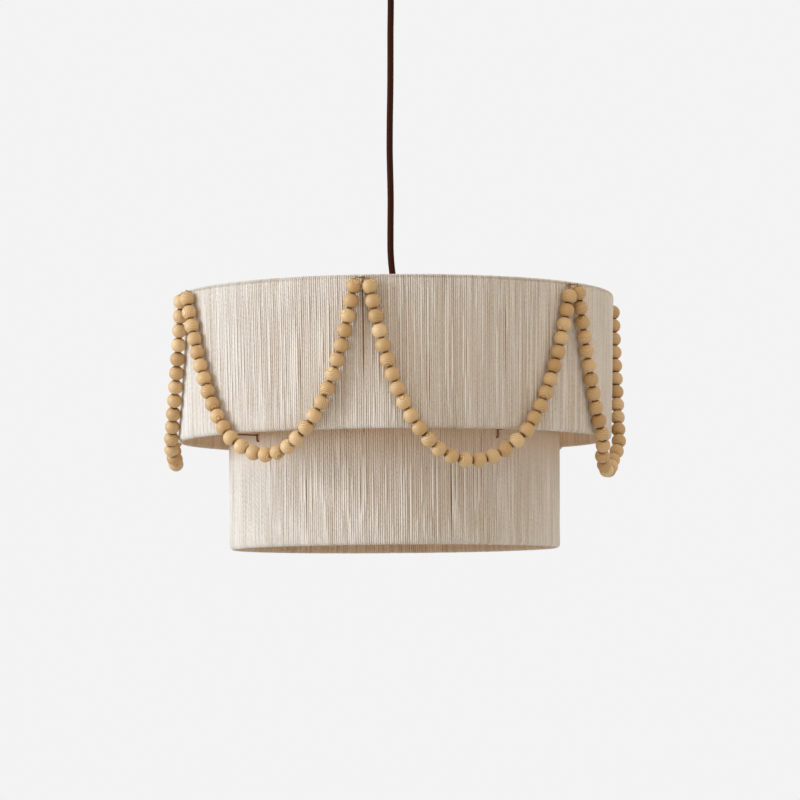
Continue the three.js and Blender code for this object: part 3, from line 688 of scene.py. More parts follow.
def add_yarn(name, node, rings_at, strands, seed, slits, painted_bounce_share=0):
    """The yarn of one drum. Its outside is painted paler and warmer down to the given share of its
    height, as painted bounce light in the shade under the drum above.
    """
    high, low = rings_at
    rng = np.random.default_rng(seed)
    offset = WRAP_HALF - YARN_HALF_DEPTH - YARN_SPARE
    reach, height, out_r, out_z, share = strand_path(high, low, offset)
    inner = out_r < 0
    turn = (np.arange(strands) + rng.uniform(-YARN_JITTER, YARN_JITTER, strands)) / strands
    turns = np.broadcast_to(turn[:, None], (strands, len(reach)))
    shares = np.broadcast_to(share, turns.shape)
    # The two faces of the drum vary on their own, so the inside reads noise from another turn.
    read = np.where(inner, turns + 0.5, turns)

    def noise(columns, rows):
        return drum_noise(rng, read, shares, columns, rows)

    middle = np.clip(1 - np.abs(2 * shares - 1) ** 3, 0, 1)
    # The strands lie least evenly at the front, where the wrapping starts.
    front = np.exp(-((apart(turns, 0) / FRONT_REACH) ** 2))
    middle = middle * (BACK_UNEVENNESS + (1 - BACK_UNEVENNESS) * front)
    loose = 0.5 + 0.5 * noise(LOOSE_COLUMNS, 2)
    bunch = noise(round(strands / BUNCH_STRANDS), 2)
    lean = noise(LEAN_COLUMNS, 1)
    wobble = noise(strands, 7)
    sideways = middle * (YARN_STRAY * loose * bunch + YARN_LEAN * lean + YARN_WOBBLE * wobble)
    sideways = sideways + np.where(inner, 0, slit_push(turns, shares, strands, slits))
    risen = smoothed(np.clip((noise(strands, 2) - RISE_START) / RISE_RUN, 0, 1))
    lift = YARN_LIFT * noise(strands, 2) - YARN_SINK * middle * (1 - risen)
    width = YARN_HALF_WIDTH * (1 + WIDTH_SPREAD * noise(strands, 5))
    width = width * (1 + WIDTH_SPREAD * (1 - middle)) * reach / high[0]
    depth = YARN_HALF_DEPTH * (1 + DEPTH_SPREAD * noise(strands, 9))
    angle = turns * TURN + sideways / reach
    line = around(angle, reach + lift * out_r, height + lift * out_z)
    out = around(angle, out_r, out_z)
    vertices = rings(line, out, depth, width, YARN_TURN_SHARES, closed=True)
    faces = tube_faces(len(reach), len(YARN_TURN_SHARES), strands)
    under, under_kept, under_inner = packing(high, low, strands, slits)
    yarn = add_piece(name, YARN, node, (vertices, [faces]), under, sharp=False)
    painted_bounce = np.zeros(len(share))
    # Painted warm bounce light, strongest at the top of the outside
    if painted_bounce_share > 0:
        painted_bounce = np.where(inner, 0, np.clip(1 - share / painted_bounce_share, 0, 1))
    kept = strand_marks(rng, line, turns, shares, risen * middle, painted_bounce)
    give(yarn, "strand", np.concatenate([kept, under_kept]))
    # Painted shade on the inner faces, and the painted warm tint on the top of the lower drum's
    # outside
    painted_tint = np.where(inner, 1, PAINTED_BOUNCE_TONE * painted_bounce)
    painted_tint = np.broadcast_to(painted_tint[:, None], vertices.shape[:-1]).ravel()
    give(yarn, "inside", np.concatenate([painted_tint, under_inner]))


UPPER_RINGS = drum_rings(UPPER_TOP_RADIUS, UPPER_BOTTOM_RADIUS, UPPER_HIGH.z, UPPER_LOW.z)
LOWER_RINGS = drum_rings(LOWER_TOP_RADIUS, LOWER_BOTTOM_RADIUS, LOWER_HIGH.z, LOWER_LOW.z)

# Slits between strands: degrees round the drum, half their width, and their top and bottom
TIE_SLITS = [(degrees, 0.0007, 0.02, 0.75) for degrees in TIE_DEGREES]
UPPER_SLITS = TIE_SLITS + [
    (28.9, 0.00035, 0.18, 0.8),
    (-24, 0.0003, 0.3, 0.9),
    (9, 0.0003, 0.5, 1.0),
    (150, 0.0005, 0.2, 0.8),
    (247, 0.0004, 0.1, 0.7),
]
LOWER_SLITS = [
    (30.4, 0.0006, 0.0, 0.6),
    (19.3, 0.0004, 0.22, 0.98),
    (-31, 0.0005, 0.4, 1.0),
    (-12, 0.0003, 0.5, 1.0),
    (-10.2, 0.0014, -0.1, 0.13),
    (100, 0.0005, 0.2, 0.8),
    (215, 0.0005, 0.1, 0.7),
]

add_yarn("upper_yarn", "upper_wrap", UPPER_RINGS, UPPER_STRANDS, 11, UPPER_SLITS)
add_yarn("lower_yarn", "lower_wrap", LOWER_RINGS, LOWER_STRANDS, 23, LOWER_SLITS, 0.4)

# Garlands

TIE_ANGLES = [degrees / 360 * TURN for degrees in TIE_DEGREES]
KNOT_REACH = UPPER_TOP_RADIUS + GAP + KNOT_RADIUS
KNOT_HEIGHT = UPPER_RINGS[0][1]


def hanging_line(start, end, design, lowest_drop):
    """The line of the beads' middles, on the upper drum and then free below it."""
    _, lowest, tops, curves = design
    reach = UPPER_TOP_RADIUS + GAP + BEAD_RADIUS
    share = np.linspace(0, 1, LINE_STEPS + 1)
    side = (share >= lowest).astype(int)
    curve, top = np.array(curves)[side], GARLAND_TOP_DROP * np.array(tops)[side]
    rise = (np.cosh(curve * (share - lowest) / (side - lowest)) - 1) / (np.cosh(curve) - 1)
    drop = lowest_drop + (top - lowest_drop) * rise
    offset = (BEAD_RADIUS + GAP) / reach
    angle = start + offset + (end - start - 2 * offset) * share
    height = UPPER_HIGH.z - UPPER_LOW.z
    taper = UPPER_TOP_RADIUS - UPPER_BOTTOM_RADIUS
    low = angle[drop > LEAVE_SHARE * height]
    first, last = (low[0], low[-1]) if len(low) else (start, end)
    plane = (reach - taper) * math.cos((last - first) / 2)
    on_drum = reach - np.minimum(drop / height, 1) * taper
    free = plane / np.cos(angle - (first + last) / 2)
    freed = smoothed(np.clip((drop - height) / FREE_DROP, 0, 1))
    return around(angle, on_drum + (free - on_drum) * freed, UPPER_HIGH.z - drop)


def garland_line(start, end, design):
    length = (design[0] - 1) * BEAD_PITCH
    low, high = GARLAND_TOP_DROP, GARLAND_TOP_DROP + length
    for _ in range(HALVINGS):
        middle = (low + high) / 2
        if run_sums(hanging_line(start, end, design, middle))[-1] < length:
            low = middle
        else:
            high = middle
    return hanging_line(start, end, design, low)


def points_along(line, lengths):
    """Points at lengths along a line, and past its ends along its end stretches."""
    sums = run_sums(line)
    i = np.clip(np.searchsorted(sums, lengths, side="right"), 1, len(sums) - 1)
    share = (lengths - sums[i - 1]) / (sums[i] - sums[i - 1])
    return line[i - 1] + (line[i] - line[i - 1]) * share[:, None]


BEAD_SIDES = 28
BEAD_ARC_STEPS = 13
BEAD_SQUARENESS = 2.03  # 2 would be a ball
BORE_COUNTERSINK = 0.0012
MOUTH_SHADE_SHARE = 0.86  # how far along a bead its ends start to be painted darker, as painted shade where beads touch
GRAIN_LEAN = 0.42  # how much the grain leans from a bead's bore
BEAD_LEAN = 0.0004  # how far a bead's ends stray from the garland's line
BEAD_SIZES = (0.99, 1.015)  # across, from the smallest to the largest
TONE_SPREAD = 0.22


def bead_shape():
    """A bored bead's section from one mouth over the outside and back through the bore."""
    half = BEAD_PITCH / 2
    bend = 2 / BEAD_SQUARENESS
    lip = math.asin((BEAD_MOUTH / BEAD_RADIUS) ** (1 / bend))
    arc = np.linspace(math.pi - lip, lip, BEAD_ARC_STEPS)
    along = np.sign(np.cos(arc)) * np.abs(np.cos(arc) / math.cos(lip)) ** bend
    outside = np.stack([half * along, BEAD_RADIUS * np.sin(arc) ** bend], axis=-1)
    depth = half - BORE_COUNTERSINK
    bore = np.array([(depth, BORE_RADIUS), (-depth, BORE_RADIUS)])
    profile = np.concatenate([outside, bore])
    angles = even_shares(BEAD_SIDES) * TURN
    along, out = profile.T[..., None]
    parts = np.broadcast_arrays(along, out * np.cos(angles), out * np.sin(angles))
    return np.stack(parts, axis=-1).reshape(-1, 3), len(profile)


def leaning_turns(rng, count):
    """Rotation matrices whose first way leans a little from the bead's axis."""
    first = unit(rng.normal(size=(count, 3)) * GRAIN_LEAN + (1, 0, 0))
    second = unit(np.cross(first, rng.normal(size=(count, 3))))
    return np.stack([first, second, np.cross(first, second)], axis=1)


def add_beads(number, line, design):
    count = design[0]
    rng = np.random.default_rng(100 + number)
    shape, stations = bead_shape()
    before, centres, after = (
        points_along(line, (np.arange(count) + step) * BEAD_PITCH) for step in (-0.5, 0, 0.5)
    )
    axis = unit(after - before + rng.normal(scale=BEAD_LEAN, size=centres.shape))
    across = unit(np.cross(axis, centres * (1, 1, 0)))
    frames = np.stack([axis, np.cross(across, axis), across], axis=-1)
    sizes = rng.uniform(*BEAD_SIZES, (count, 1, 1))
    local = shape * np.where((True, False, False), 1.0, sizes)
    vertices = centres[:, None] + np.einsum("bij,bvj->bvi", frames, local)
    part = (vertices, [tube_faces(stations, BEAD_SIDES, count)[:, ::-1]])
    body, node = f"garland_{number}", f"garland_beads_{number}"
    beads = add_piece(f"{body}_beads", WOOD, node, part, body=body, sharp=False)
    grain = np.einsum("bij,bvj->bvi", leaning_turns(rng, count), local)
    grain = grain + rng.uniform(-1, 1, (count, 1, 3))
    give(beads, "grain", grain.reshape(-1, 3))
    tone = np.clip(rng.normal(MEAN_TONE, TONE_SPREAD, count), 0, 1)
    give(beads, "tone", np.repeat(tone, len(shape)))
    # Painted shade at the bead's ends, where it touches its neighbours
    mouth = (np.abs(shape[:, 0]) / (BEAD_PITCH / 2) - MOUTH_SHADE_SHARE) / (1 - MOUTH_SHADE_SHARE)
    give(beads, "mouth", np.tile(np.clip(mouth, 0, 1), count))


PLY_SIDES = 5
PLY_STEP = 0.0008
PLY_OFFSET = 0.9  # of a ply's radius, from the twine's middle to the ply's
TWINE_RISE = 0.005


def twine_parts(line):
    """Two plies wound round a line."""
    length = run_sums(line)[-1]
    count = max(int(length / PLY_STEP), 8)
    middle = points_along(line, np.linspace(0, length, count))
    along = directions(middle)
    hint = np.where(np.abs(along[:, 2:3]) > 0.8, (1, 0.3, 0), (0, 0, 1))
    side = unit(np.cross(along, np.cross(hint, along)))
    across = np.cross(along, side)
    turn = np.linspace(0, length, count)[:, None] / TWINE_RISE * TURN
    parts = []
    for phase in (0, math.pi):
        lean = np.cos(turn + phase) * side + np.sin(turn + phase) * across
        path = middle + TWINE_PLY * PLY_OFFSET * lean
        points = rings(path, lean, TWINE_PLY, TWINE_PLY, even_shares(PLY_SIDES))
        parts.append((points, rod_faces(count, PLY_SIDES)))
    return parts


STRING_STUB = 0.001  # straight out of a knot's side
STRING_RUN = 0.0025  # past the end beads' mouths before the string turns to the knots
KNOT_STEPS = 60
KNOT_CURL = 0.42  # of the knot's radius
KNOT_LOOPS = 1.6
TIE_START = 0.001  # outside the ring wire
TAIL_BEND = (0.0016, 0.001)  # out and down from the knot's middle
TAIL_TIP = (0.0028, 0.0055)


def add_string(number, line, design, start, end):
    length = (design[0] - 1) * BEAD_PITCH
    run = BEAD_PITCH / 2 + STRING_RUN
    inside = points_along(line, np.arange(-0.5, design[0], 0.5) * BEAD_PITCH)
    mouths = points_along(line, np.array([-run, length + run]))
    away = (KNOT_RADIUS + GAP, KNOT_RADIUS + GAP + STRING_STUB)
    first, last = (
        around(angle, KNOT_REACH, KNOT_HEIGHT) + np.outer(away, around(angle + way))
        for angle, way in ((start, TURN / 4), (end, -TURN / 4))
    )
    path = np.concatenate([first, [mouths[0]], inside, [mouths[1]], last[::-1]])
    body, node = f"garland_{number}", f"garland_string_{number}"
    add_piece(f"{body}_twine", TWINE, node, *twine_parts(path), body=body, sharp=False)


def add_tie(number, angle):
    """A knot of twine outside the drum, with its strand in through the yarn and a cut end."""
    out = around(angle)
    along = around(angle + TURN / 4)
    up = np.array([0, 0, 1])
    centre = around(angle, KNOT_REACH, KNOT_HEIGHT)
    turns = np.linspace(0, TURN, KNOT_STEPS)
    size = KNOT_RADIUS * KNOT_CURL
    swing = size * (np.sin(turns) + KNOT_LOOPS * np.sin(2 * turns))
    climb = size * (np.cos(turns) - KNOT_LOOPS * np.cos(2 * turns))
    depth = -size * np.sin(3 * turns)
    knot = centre + np.outer(swing, along) + np.outer(climb, up) + np.outer(depth, out)
    inner = around(angle, UPPER_RINGS[0][0] + RING_WIRE + TIE_START, KNOT_HEIGHT)
    through = np.array([inner, centre])
    rng = np.random.default_rng(300 + number)
    lean = rng.uniform(-0.5, 0.5)
    bend = centre + out * TAIL_BEND[0] - up * TAIL_BEND[1]
    tip = centre + out * TAIL_TIP[0] + (along * lean - up) * TAIL_TIP[1]
    tail = np.array([centre, bend, tip])
    parts = [part for line in (knot, through, tail) for part in twine_parts(line)]
    node = f"garland_tie_{number}"
    add_piece(f"garland_{number}_knot", TWINE, node, *parts, sharp=False)


ends = [*TIE_ANGLES[1:], TIE_ANGLES[0] + TURN]
for number, (design, start, end) in enumerate(zip(GARLANDS, TIE_ANGLES, ends), 1):
    line = garland_line(start, end, design)
    add_beads(number, line, design)
    add_string(number, line, design, start, end)
    add_tie(number, start)

# Ceiling fitting

CANOPY_BOTTOM = -0.028
CANOPY_RADIUS = 0.0625
CANOPY_WALL = 0.0015
CANOPY_SHOULDERS = (0.011, 0.00935)  # how far its rounding reaches, outside and inside
NECK_RADIUS = 0.006
NECK_HOLE = NECK_RADIUS + GAP
SCREW_REACH = 0.044
SCREW_RADIUS = 0.002
KNOB_RADIUS = 0.005
KNOB_HEIGHT = 0.005
KNOB_WAIST_SHARE = 0.6
GRIP_RADIUS = 0.011
GRIP_BOTTOM = -0.044
GRIP_MOUTH = 0.0056  # radius of the flared mouth
GRIP_MOUTH_DEPTH = 0.003
GRIP_SEAT = 0.0014  # in which the cord's end sits
NECK_RISE = 0.008  # of the grip's neck, above the canopy's bottom
LEAD_BORE = CORD_RADIUS * 0.4
CANOPY_NUT_HEIGHT = 0.004
EDGE = 0.0004  # how far a sharp edge is taken off
KNOB_FLUTES = (16, 0.0003)  # how many, and how deep
GRIP_FLUTES = (28, 0.0004)
GRIP_SIDES = 168


def add_canopy():
    inner = CANOPY_RADIUS - CANOPY_WALL
    dish = eased([
        (NECK_HOLE, CANOPY_BOTTOM),
        (CANOPY_RADIUS, CANOPY_BOTTOM, CANOPY_SHOULDERS[0]),
        (CANOPY_RADIUS, 0, EDGE),
        (inner, 0, EDGE),
        (inner, CANOPY_BOTTOM + CANOPY_WALL, CANOPY_SHOULDERS[1]),
        (NECK_HOLE, CANOPY_BOTTOM + CANOPY_WALL),
    ], 8)
    add_piece("canopy_dish", BRONZE, "canopy", lathe(dish, sides=96), body="ceiling_fitting")


def add_knobs():
    top = CANOPY_BOTTOM - GAP
    middle = top - KNOB_HEIGHT / 2
    waist = KNOB_RADIUS * KNOB_WAIST_SHARE
    knob = eased([
        (waist * KNOB_WAIST_SHARE, top - KNOB_HEIGHT),
        (waist, top - KNOB_HEIGHT, EDGE),
        (KNOB_RADIUS, middle - EDGE * 2, EDGE * 2),
        (KNOB_RADIUS, middle + EDGE * 2, EDGE * 2),
        (waist, top, EDGE),
        (SCREW_RADIUS, top),
        (SCREW_RADIUS, -GAP),
    ])
    flutes = (*KNOB_FLUTES, middle - EDGE * 4, middle + EDGE * 4)
    for number, side in ((1, -1), (2, 1)):
        part = lathe(knob, (side * SCREW_REACH, 0, 0), closed=False, flutes=flutes)
        node = f"canopy_screw_{number}"
        add_piece(f"canopy_knob_{number}", BRONZE, node, part, body="ceiling_fitting")


def add_canopy_grip():
    top = CANOPY_BOTTOM - GAP
    neck_top = CANOPY_BOTTOM + NECK_RISE
    mouth_top = GRIP_BOTTOM + GRIP_MOUTH_DEPTH
    step = (top + GRIP_BOTTOM) / 2
    grip = eased([
        (GRIP_MOUTH, GRIP_BOTTOM, EDGE),
        (GRIP_MOUTH + EDGE * 4, GRIP_BOTTOM, EDGE),
        (GRIP_RADIUS, step, EDGE * 4),
        (GRIP_RADIUS, top - EDGE * 3),
        (GRIP_RADIUS, top, EDGE),
        (NECK_RADIUS, top, EDGE),
        (NECK_RADIUS, neck_top, EDGE),
        (LEAD_BORE, neck_top),
        (LEAD_BORE, mouth_top + GRIP_SEAT),
        (CORD_RADIUS + GAP, mouth_top + GRIP_SEAT),
        (CORD_RADIUS + GAP, mouth_top),
    ])
    part = lathe(grip, sides=GRIP_SIDES, flutes=(*GRIP_FLUTES, step + EDGE, top - EDGE * 2))
    add_piece("canopy_cord_grip", BRONZE, "canopy_grip", part, body="ceiling_fitting")
    nut_low = CANOPY_BOTTOM + CANOPY_WALL + GAP
    part = nut(NECK_HOLE, nut_low, nut_low + CANOPY_NUT_HEIGHT)
    add_piece("canopy_hex_nut", ZINC, "canopy_grip_nut", part, body="ceiling_fitting")


# Hub and spider

HUB_Z = UPPER_RINGS[0][1]
WASHER_RADIUS = 0.020
WASHER_HALF = 0.0015
SPIDER_WIRE = 0.002
SPIDER_ARMS = 4
STEM_RADIUS = 0.005
STEM_HOLE = STEM_RADIUS + GAP
STEM_BORE = 0.0034
HUB_GRIP_HEIGHT = 0.018
HUB_GRIP_TOP_RADIUS = 0.007
STEM_LENGTH = 0.046
STEM_THREAD = (0.0004, 0.001)  # depth and pitch
HUB_NUT_HEIGHT = 0.005


def stem_nut(top):
    return nut(STEM_HOLE, top - HUB_NUT_HEIGHT, top)


def add_hub():
    bottom = HUB_Z + WASHER_HALF + GAP
    top = bottom + HUB_GRIP_HEIGHT
    step = bottom + HUB_GRIP_HEIGHT / 2
    grip = eased([
        (STEM_HOLE, bottom),
        (GRIP_RADIUS, bottom, EDGE),
        (GRIP_RADIUS, step, EDGE * 3),
        (HUB_GRIP_TOP_RADIUS, top, EDGE * 2),
        (STEM_BORE, top, EDGE),
        (STEM_BORE, step),
        (STEM_HOLE, step),
    ])
    part = lathe(grip, sides=GRIP_SIDES, flutes=(*GRIP_FLUTES, bottom + EDGE, step - EDGE))
    add_piece("hub_cord_grip", BRONZE, "hub_grip", part)
    stem_top = step - GAP
    thread = threaded(STEM_RADIUS, STEM_THREAD, stem_top - STEM_LENGTH, stem_top, STEM_BORE)
    add_piece("hub_threaded_stem", ZINC, "hub_stem", thread)
    add_piece("hub_hex_nut", ZINC, "hub_nut", stem_nut(HUB_Z - WASHER_HALF - GAP))


def add_spider():
    low, high = HUB_Z - WASHER_HALF, HUB_Z + WASHER_HALF
    washer = eased([
        (STEM_HOLE, low, EDGE),
        (WASHER_RADIUS, low, EDGE),
        (WASHER_RADIUS, high, EDGE),
        (STEM_HOLE, high, EDGE),
    ])
    reach = UPPER_RINGS[0][0] - RING_WIRE - GAP
    line = np.array([(WASHER_RADIUS - SPIDER_WIRE, HUB_Z), (reach, HUB_Z)])
    angles = STRUT_START + even_shares(SPIDER_ARMS) * TURN
    arms = [rod(angle, line, SPIDER_WIRE) for angle in angles]
    add_piece("spider_wires", PAINT, "spider", lathe(washer), *arms)


# Lamp cluster

CLUSTER_RADIUS = 0.025
CLUSTER_HEIGHT = 0.030
CLUSTER_WALL = 0.002
CLUSTER_BORE = CLUSTER_RADIUS - CLUSTER_WALL
LAMPS = 3
LAMP_START = math.radians(30)
LAMP_REACH = 0.078
ARM_RADIUS = 0.005
ARM_BEND = 0.016
ARM_DROP = 0.026
HOLDER_RADIUS = 0.019
HOLDER_HEIGHT = 0.048
HOLDER_WALL = 0.0035
HOLDER_SHOULDER = 0.005
GROOVE_WIDTH = 0.0016
GROOVE_DEPTH = 0.0007
GROOVE_SHARES = (0.1, 0.18, 0.26)  # where they are turned into a holder's skirt
BULB_RADIUS = 0.030
BULB_LENGTH = 0.108
CAP_RADIUS = 0.0132
CAP_LENGTH = 0.026
CAP_SHOW = 0.002
CAP_THREAD = (0.0009, 0.0036)
CONTACT_HEIGHT = 0.005
GLASS_HOLD = 0.0005  # how far the glass goes into its cap
FINIAL_RADIUS = 0.006
FINIAL_HEIGHT = 0.012
FINIAL_NECK = 0.002
LID_PLUG = 0.003  # how far the lid goes into the cup
GLOBE_SHARES = (  # the glass from its tip up, as shares of its radius and its length
    (0.12, 0.004), (0.3, 0.018), (0.53, 0.055), (0.75, 0.125), (0.9, 0.21), (0.98, 0.3), (1, 0.37),
    (0.985, 0.45), (0.93, 0.54), (0.83, 0.64), (0.7, 0.74), (0.58, 0.83), (0.505, 0.9), (0.45, 0.965),
)

STEM_BOTTOM = HUB_Z + WASHER_HALF + HUB_GRIP_HEIGHT / 2 - STEM_LENGTH
CLUSTER_TOP = STEM_BOTTOM + HUB_NUT_HEIGHT + CLUSTER_WALL
CLUSTER_BOTTOM = CLUSTER_TOP - CLUSTER_HEIGHT
ARM_Z = (CLUSTER_TOP + CLUSTER_BOTTOM) / 2
HOLDER_TOP = ARM_Z - ARM_DROP
HOLDER_BOTTOM = HOLDER_TOP - HOLDER_HEIGHT
BULB_TOP = HOLDER_BOTTOM + CAP_LENGTH - CAP_SHOW - GAP


def add_cluster():
    body = eased([
        (CLUSTER_BORE, CLUSTER_BOTTOM),
        (CLUSTER_RADIUS, CLUSTER_BOTTOM, EDGE),
        (CLUSTER_RADIUS, CLUSTER_TOP, EDGE * 3),
        (STEM_HOLE, CLUSTER_TOP, EDGE),
        (STEM_HOLE, CLUSTER_TOP - CLUSTER_WALL, EDGE),
        (CLUSTER_BORE, CLUSTER_TOP - CLUSTER_WALL, EDGE),
    ])
    add_piece("cluster_cup", BRONZE, "cluster_body", lathe(body))
    part = stem_nut(CLUSTER_TOP - CLUSTER_WALL - GAP)
    add_piece("cluster_hex_nut", ZINC, "cluster_nut", part)


def add_lid():
    """The cluster's screwed lid and its finial."""
    top = CLUSTER_BOTTOM - GAP
    bottom = top - CLUSTER_WALL
    lip = CLUSTER_BORE - 2 * GAP
    tip = bottom - FINIAL_HEIGHT
    lid = eased([
        (FINIAL_RADIUS * 0.3, tip),
        (FINIAL_RADIUS * 0.7, tip, 0.001),
        (FINIAL_RADIUS, tip + FINIAL_HEIGHT * 0.33, 0.003),
        (FINIAL_RADIUS * 0.6, bottom - FINIAL_NECK, FINIAL_NECK),
        (FINIAL_RADIUS * 0.9, bottom, EDGE),
        (CLUSTER_RADIUS, bottom, EDGE * 3),
        (CLUSTER_RADIUS, top, EDGE),
        (lip, top),
        (lip, top + LID_PLUG, EDGE),
        (FINIAL_RADIUS * 0.3, top + LID_PLUG),
    ], 6)
    add_piece("cluster_lid", BRONZE, "cluster_cap", lathe(lid, closed=False))


def holder_part(at):
    rim = HOLDER_BOTTOM
    bore = CAP_RADIUS + GAP
    waist = HOLDER_RADIUS - GROOVE_DEPTH
    rows = [(bore, rim, EDGE), (HOLDER_RADIUS, rim, EDGE * 2)]
    for share in GROOVE_SHARES:
        low = rim + HOLDER_HEIGHT * share
        high = low + GROOVE_WIDTH
        rows += [(HOLDER_RADIUS, low, EDGE), (waist, low, EDGE)]
        rows += [(waist, high, EDGE), (HOLDER_RADIUS, high, EDGE)]
    rows += [
        (HOLDER_RADIUS, rim + HOLDER_HEIGHT * 0.5, EDGE * 2),
        (waist, rim + HOLDER_HEIGHT * 0.52, EDGE * 2),
        (waist, HOLDER_TOP - HOLDER_SHOULDER, HOLDER_SHOULDER * 0.7),
        (HOLDER_RADIUS - HOLDER_SHOULDER, HOLDER_TOP, EDGE * 2),
        (ARM_RADIUS + GAP, HOLDER_TOP, EDGE),
        (ARM_RADIUS + GAP, HOLDER_TOP - HOLDER_WALL),
        (bore, HOLDER_TOP - HOLDER_WALL),
    ]
    return lathe(eased(rows), at)


def add_bulb(number, at):
    glass = np.array(GLOBE_SHARES) * (BULB_RADIUS, BULB_LENGTH - CAP_LENGTH)
    glass = smooth_line(glass + (0, BULB_TOP - BULB_LENGTH), 3)
    low, high = BULB_TOP - CAP_LENGTH, BULB_TOP - CONTACT_HEIGHT
    glass = np.concatenate([glass, [(CAP_RADIUS * 0.97, low + GLASS_HOLD)]])
    body, node = f"screwed_bulb_{number}", f"bulb_{number}"
    add_piece(f"{node}_glass", OPAL, node, lathe(glass, at, closed=False), body=body)
    contact = eased([
        (CAP_RADIUS * 0.93, high),
        (CAP_RADIUS * 0.5, BULB_TOP - 0.001, 0.001),
        (CAP_RADIUS * 0.2, BULB_TOP),
    ])
    screw = threaded(CAP_RADIUS, CAP_THREAD, low, high, CAP_RADIUS * 0.8, at, 48)
    contact = lathe(contact, at, closed=False)
    add_piece(f"{node}_screw", ZINC, node, screw, contact, body=body)


def add_lamp(number, angle):
    arm = eased([
        (CLUSTER_BORE, ARM_Z),
        (LAMP_REACH, ARM_Z, ARM_BEND),
        (LAMP_REACH, HOLDER_TOP - HOLDER_WALL),
    ], 12)
    part = rod(angle, arm, ARM_RADIUS, 24)
    add_piece(f"lamp_{number}_tube", BRONZE, f"lamp_arm_{number}", part)
    at = around(angle, LAMP_REACH)
    add_piece(f"lamp_{number}_holder", BLACK, f"lampholder_{number}", holder_part(at))
    add_bulb(number, at)


# Links between the tiers

LINK_WIRE = 0.0012
LINK_DIP = 0.0032
LINK_DIP_SHARES = (0.12, 0.6, 0.6, 1)
LINK_DIP_RUN = 0.008
LINK_DROP = 0.0115
LINK_BEND = 0.0025
LINK_STOP = 0.002  # from the yarn's wall ring to the foot's end
LINK_BLOB = 0.0019  # radius of the blob at the bend
LINK_BLOB_OUT = 0.0004
LINK_BLOB_SECTION = (
    (0.05, -1), (0.6, -0.8), (0.92, -0.4), (1, 0), (0.92, 0.4), (0.6, 0.8), (0.05, 1)
)


def add_links():
    (_, _), (upper_reach, height) = UPPER_RINGS
    (top_reach, top), (low_reach, low) = LOWER_RINGS
    foot = height - LINK_DROP
    wall = top_reach + (low_reach - top_reach) * (top - foot) / (top - low)
    leg = LOWER_TOP_RADIUS + GAP + LINK_WIRE
    inner = upper_reach - WRAP_HALF
    angles = STRUT_START + (even_shares(len(LINK_DIP_SHARES)) + 1 / 8) * TURN
    for number, (angle, dip_share) in enumerate(zip(angles, LINK_DIP_SHARES), 1):
        arm = height - dip_share * LINK_DIP
        line = eased([
            (upper_reach - RING_WIRE - GAP, height),
            (inner, height, LINK_BEND),
            (inner - LINK_DIP_RUN, arm, LINK_BEND),
            (leg, arm, LINK_BEND / 2),
            (leg, foot, LINK_BEND),
            (wall + LINK_STOP + GAP, foot),
        ], 6)
        at = around(angle, leg + LINK_BLOB_OUT)
        blob = np.array(LINK_BLOB_SECTION) * LINK_BLOB + (0, arm)
        parts = [rod(angle, line, LINK_WIRE, 12), lathe(blob, at, 16, closed=False)]
        add_piece(f"link_wire_{number}", PAINT, f"tier_link_{number}", *parts)


add_canopy()
add_knobs()
add_canopy_grip()
add_hub()
add_spider()
add_cluster()
add_lid()
for number, angle in enumerate(LAMP_START + even_shares(LAMPS) * TURN, 1):
    add_lamp(number, angle)
add_links()

# What is left of the CAD is inside other pieces, or is plain already.
KEPT_FINISHES = {
    "ceiling_bracket": ZINC,
    "terminal_block": WHITE,
    "canopy_lead": COPPER,
    **{f"lamp_lead_{number + 1}": COPPER for number in range(LAMPS)},
    "upper_frame": PAINT,
    "lower_frame": PAINT,
}
for node, finish in KEPT_FINISHES.items():
    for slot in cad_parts[node].material_slots:
        slot.material = finish

# Stage: a pale floor, soft light from the upper left, and a pale surround

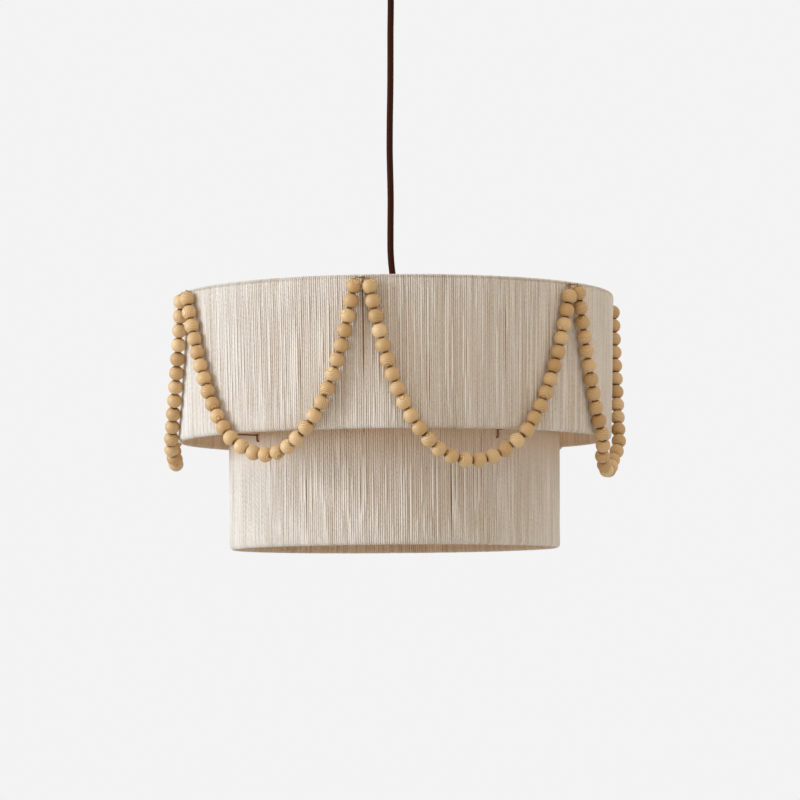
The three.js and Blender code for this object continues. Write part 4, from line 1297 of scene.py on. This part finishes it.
BACKGROUND = "#f3f3f3"
FLOOR_GLOW = 0.35
AMBIENT = 0.82
AMBIENT_COLOR = "#fff5ea"
KEY_POWER = 126
KEY_COLOR = "#d8e9ff"
KEY_PLACE = (-3.7, -1.35, 0.05)
KEY_AIM = (0, 0, -0.65)
KEY_SIZE = 1.8
FLOOR_HEIGHT = -5.6
FLOOR_HALF = 14.0


def add_floor():
    ways = ((-1, -1), (1, -1), (1, 1), (-1, 1))
    corners = [(FLOOR_HALF * x, FLOOR_HALF * y, FLOOR_HEIGHT) for x, y in ways]
    mesh = bpy.data.meshes.new("floor")
    mesh.from_pydata(corners, [], [(0, 1, 2, 3)])
    made = Finish("floor", 0.9)
    made.mottle(made.noise(made.place(), 3, 2), ("#dbe1eb", "#dde3ed"))
    # A camera sees some light of the floor's own, so that it looks as pale as the surround
    made.put(made.shader.inputs["Emission Color"], tuple(linear(BACKGROUND)))
    seen = made.node("ShaderNodeLightPath").outputs["Is Camera Ray"]
    made.put(made.shader.inputs["Emission Strength"], made.math("MULTIPLY", seen, FLOOR_GLOW))
    mesh.materials.append(made.material)
    new_object("floor", mesh)


def add_key():
    data = bpy.data.lights.new("key", "AREA")
    data.energy = KEY_POWER
    data.color = linear(KEY_COLOR)[:3]
    data.size = KEY_SIZE
    light = new_object("key", data)
    light.location = KEY_PLACE
    ahead = Vector(KEY_AIM) - Vector(KEY_PLACE)
    light.rotation_euler = ahead.to_track_quat("-Z", "Y").to_euler()


def add_world():
    world = bpy.data.worlds.new("surround")
    world.use_nodes = True
    made = NodeTree(world.node_tree)
    shown = made.tree.nodes["Background"]
    made.put(shown.inputs["Color"], linear(BACKGROUND))
    lit = made.node("ShaderNodeBackground", Color=linear(AMBIENT_COLOR), Strength=AMBIENT)
    rays = made.node("ShaderNodeLightPath").outputs
    mirrored = made.math("MAXIMUM", rays["Is Glossy Ray"], rays["Is Transmission Ray"])
    seen = made.math("MAXIMUM", rays["Is Camera Ray"], mirrored)
    mix = made.node("ShaderNodeMixShader", Fac=seen)
    made.put(mix.inputs[1], lit.outputs[0])
    made.put(mix.inputs[2], shown.outputs[0])
    made.put(made.tree.nodes["World Output"].inputs["Surface"], mix.outputs[0])
    bpy.context.scene.world = world


add_floor()
add_world()
add_key()
bpy.context.scene.view_settings.view_transform = "Standard"
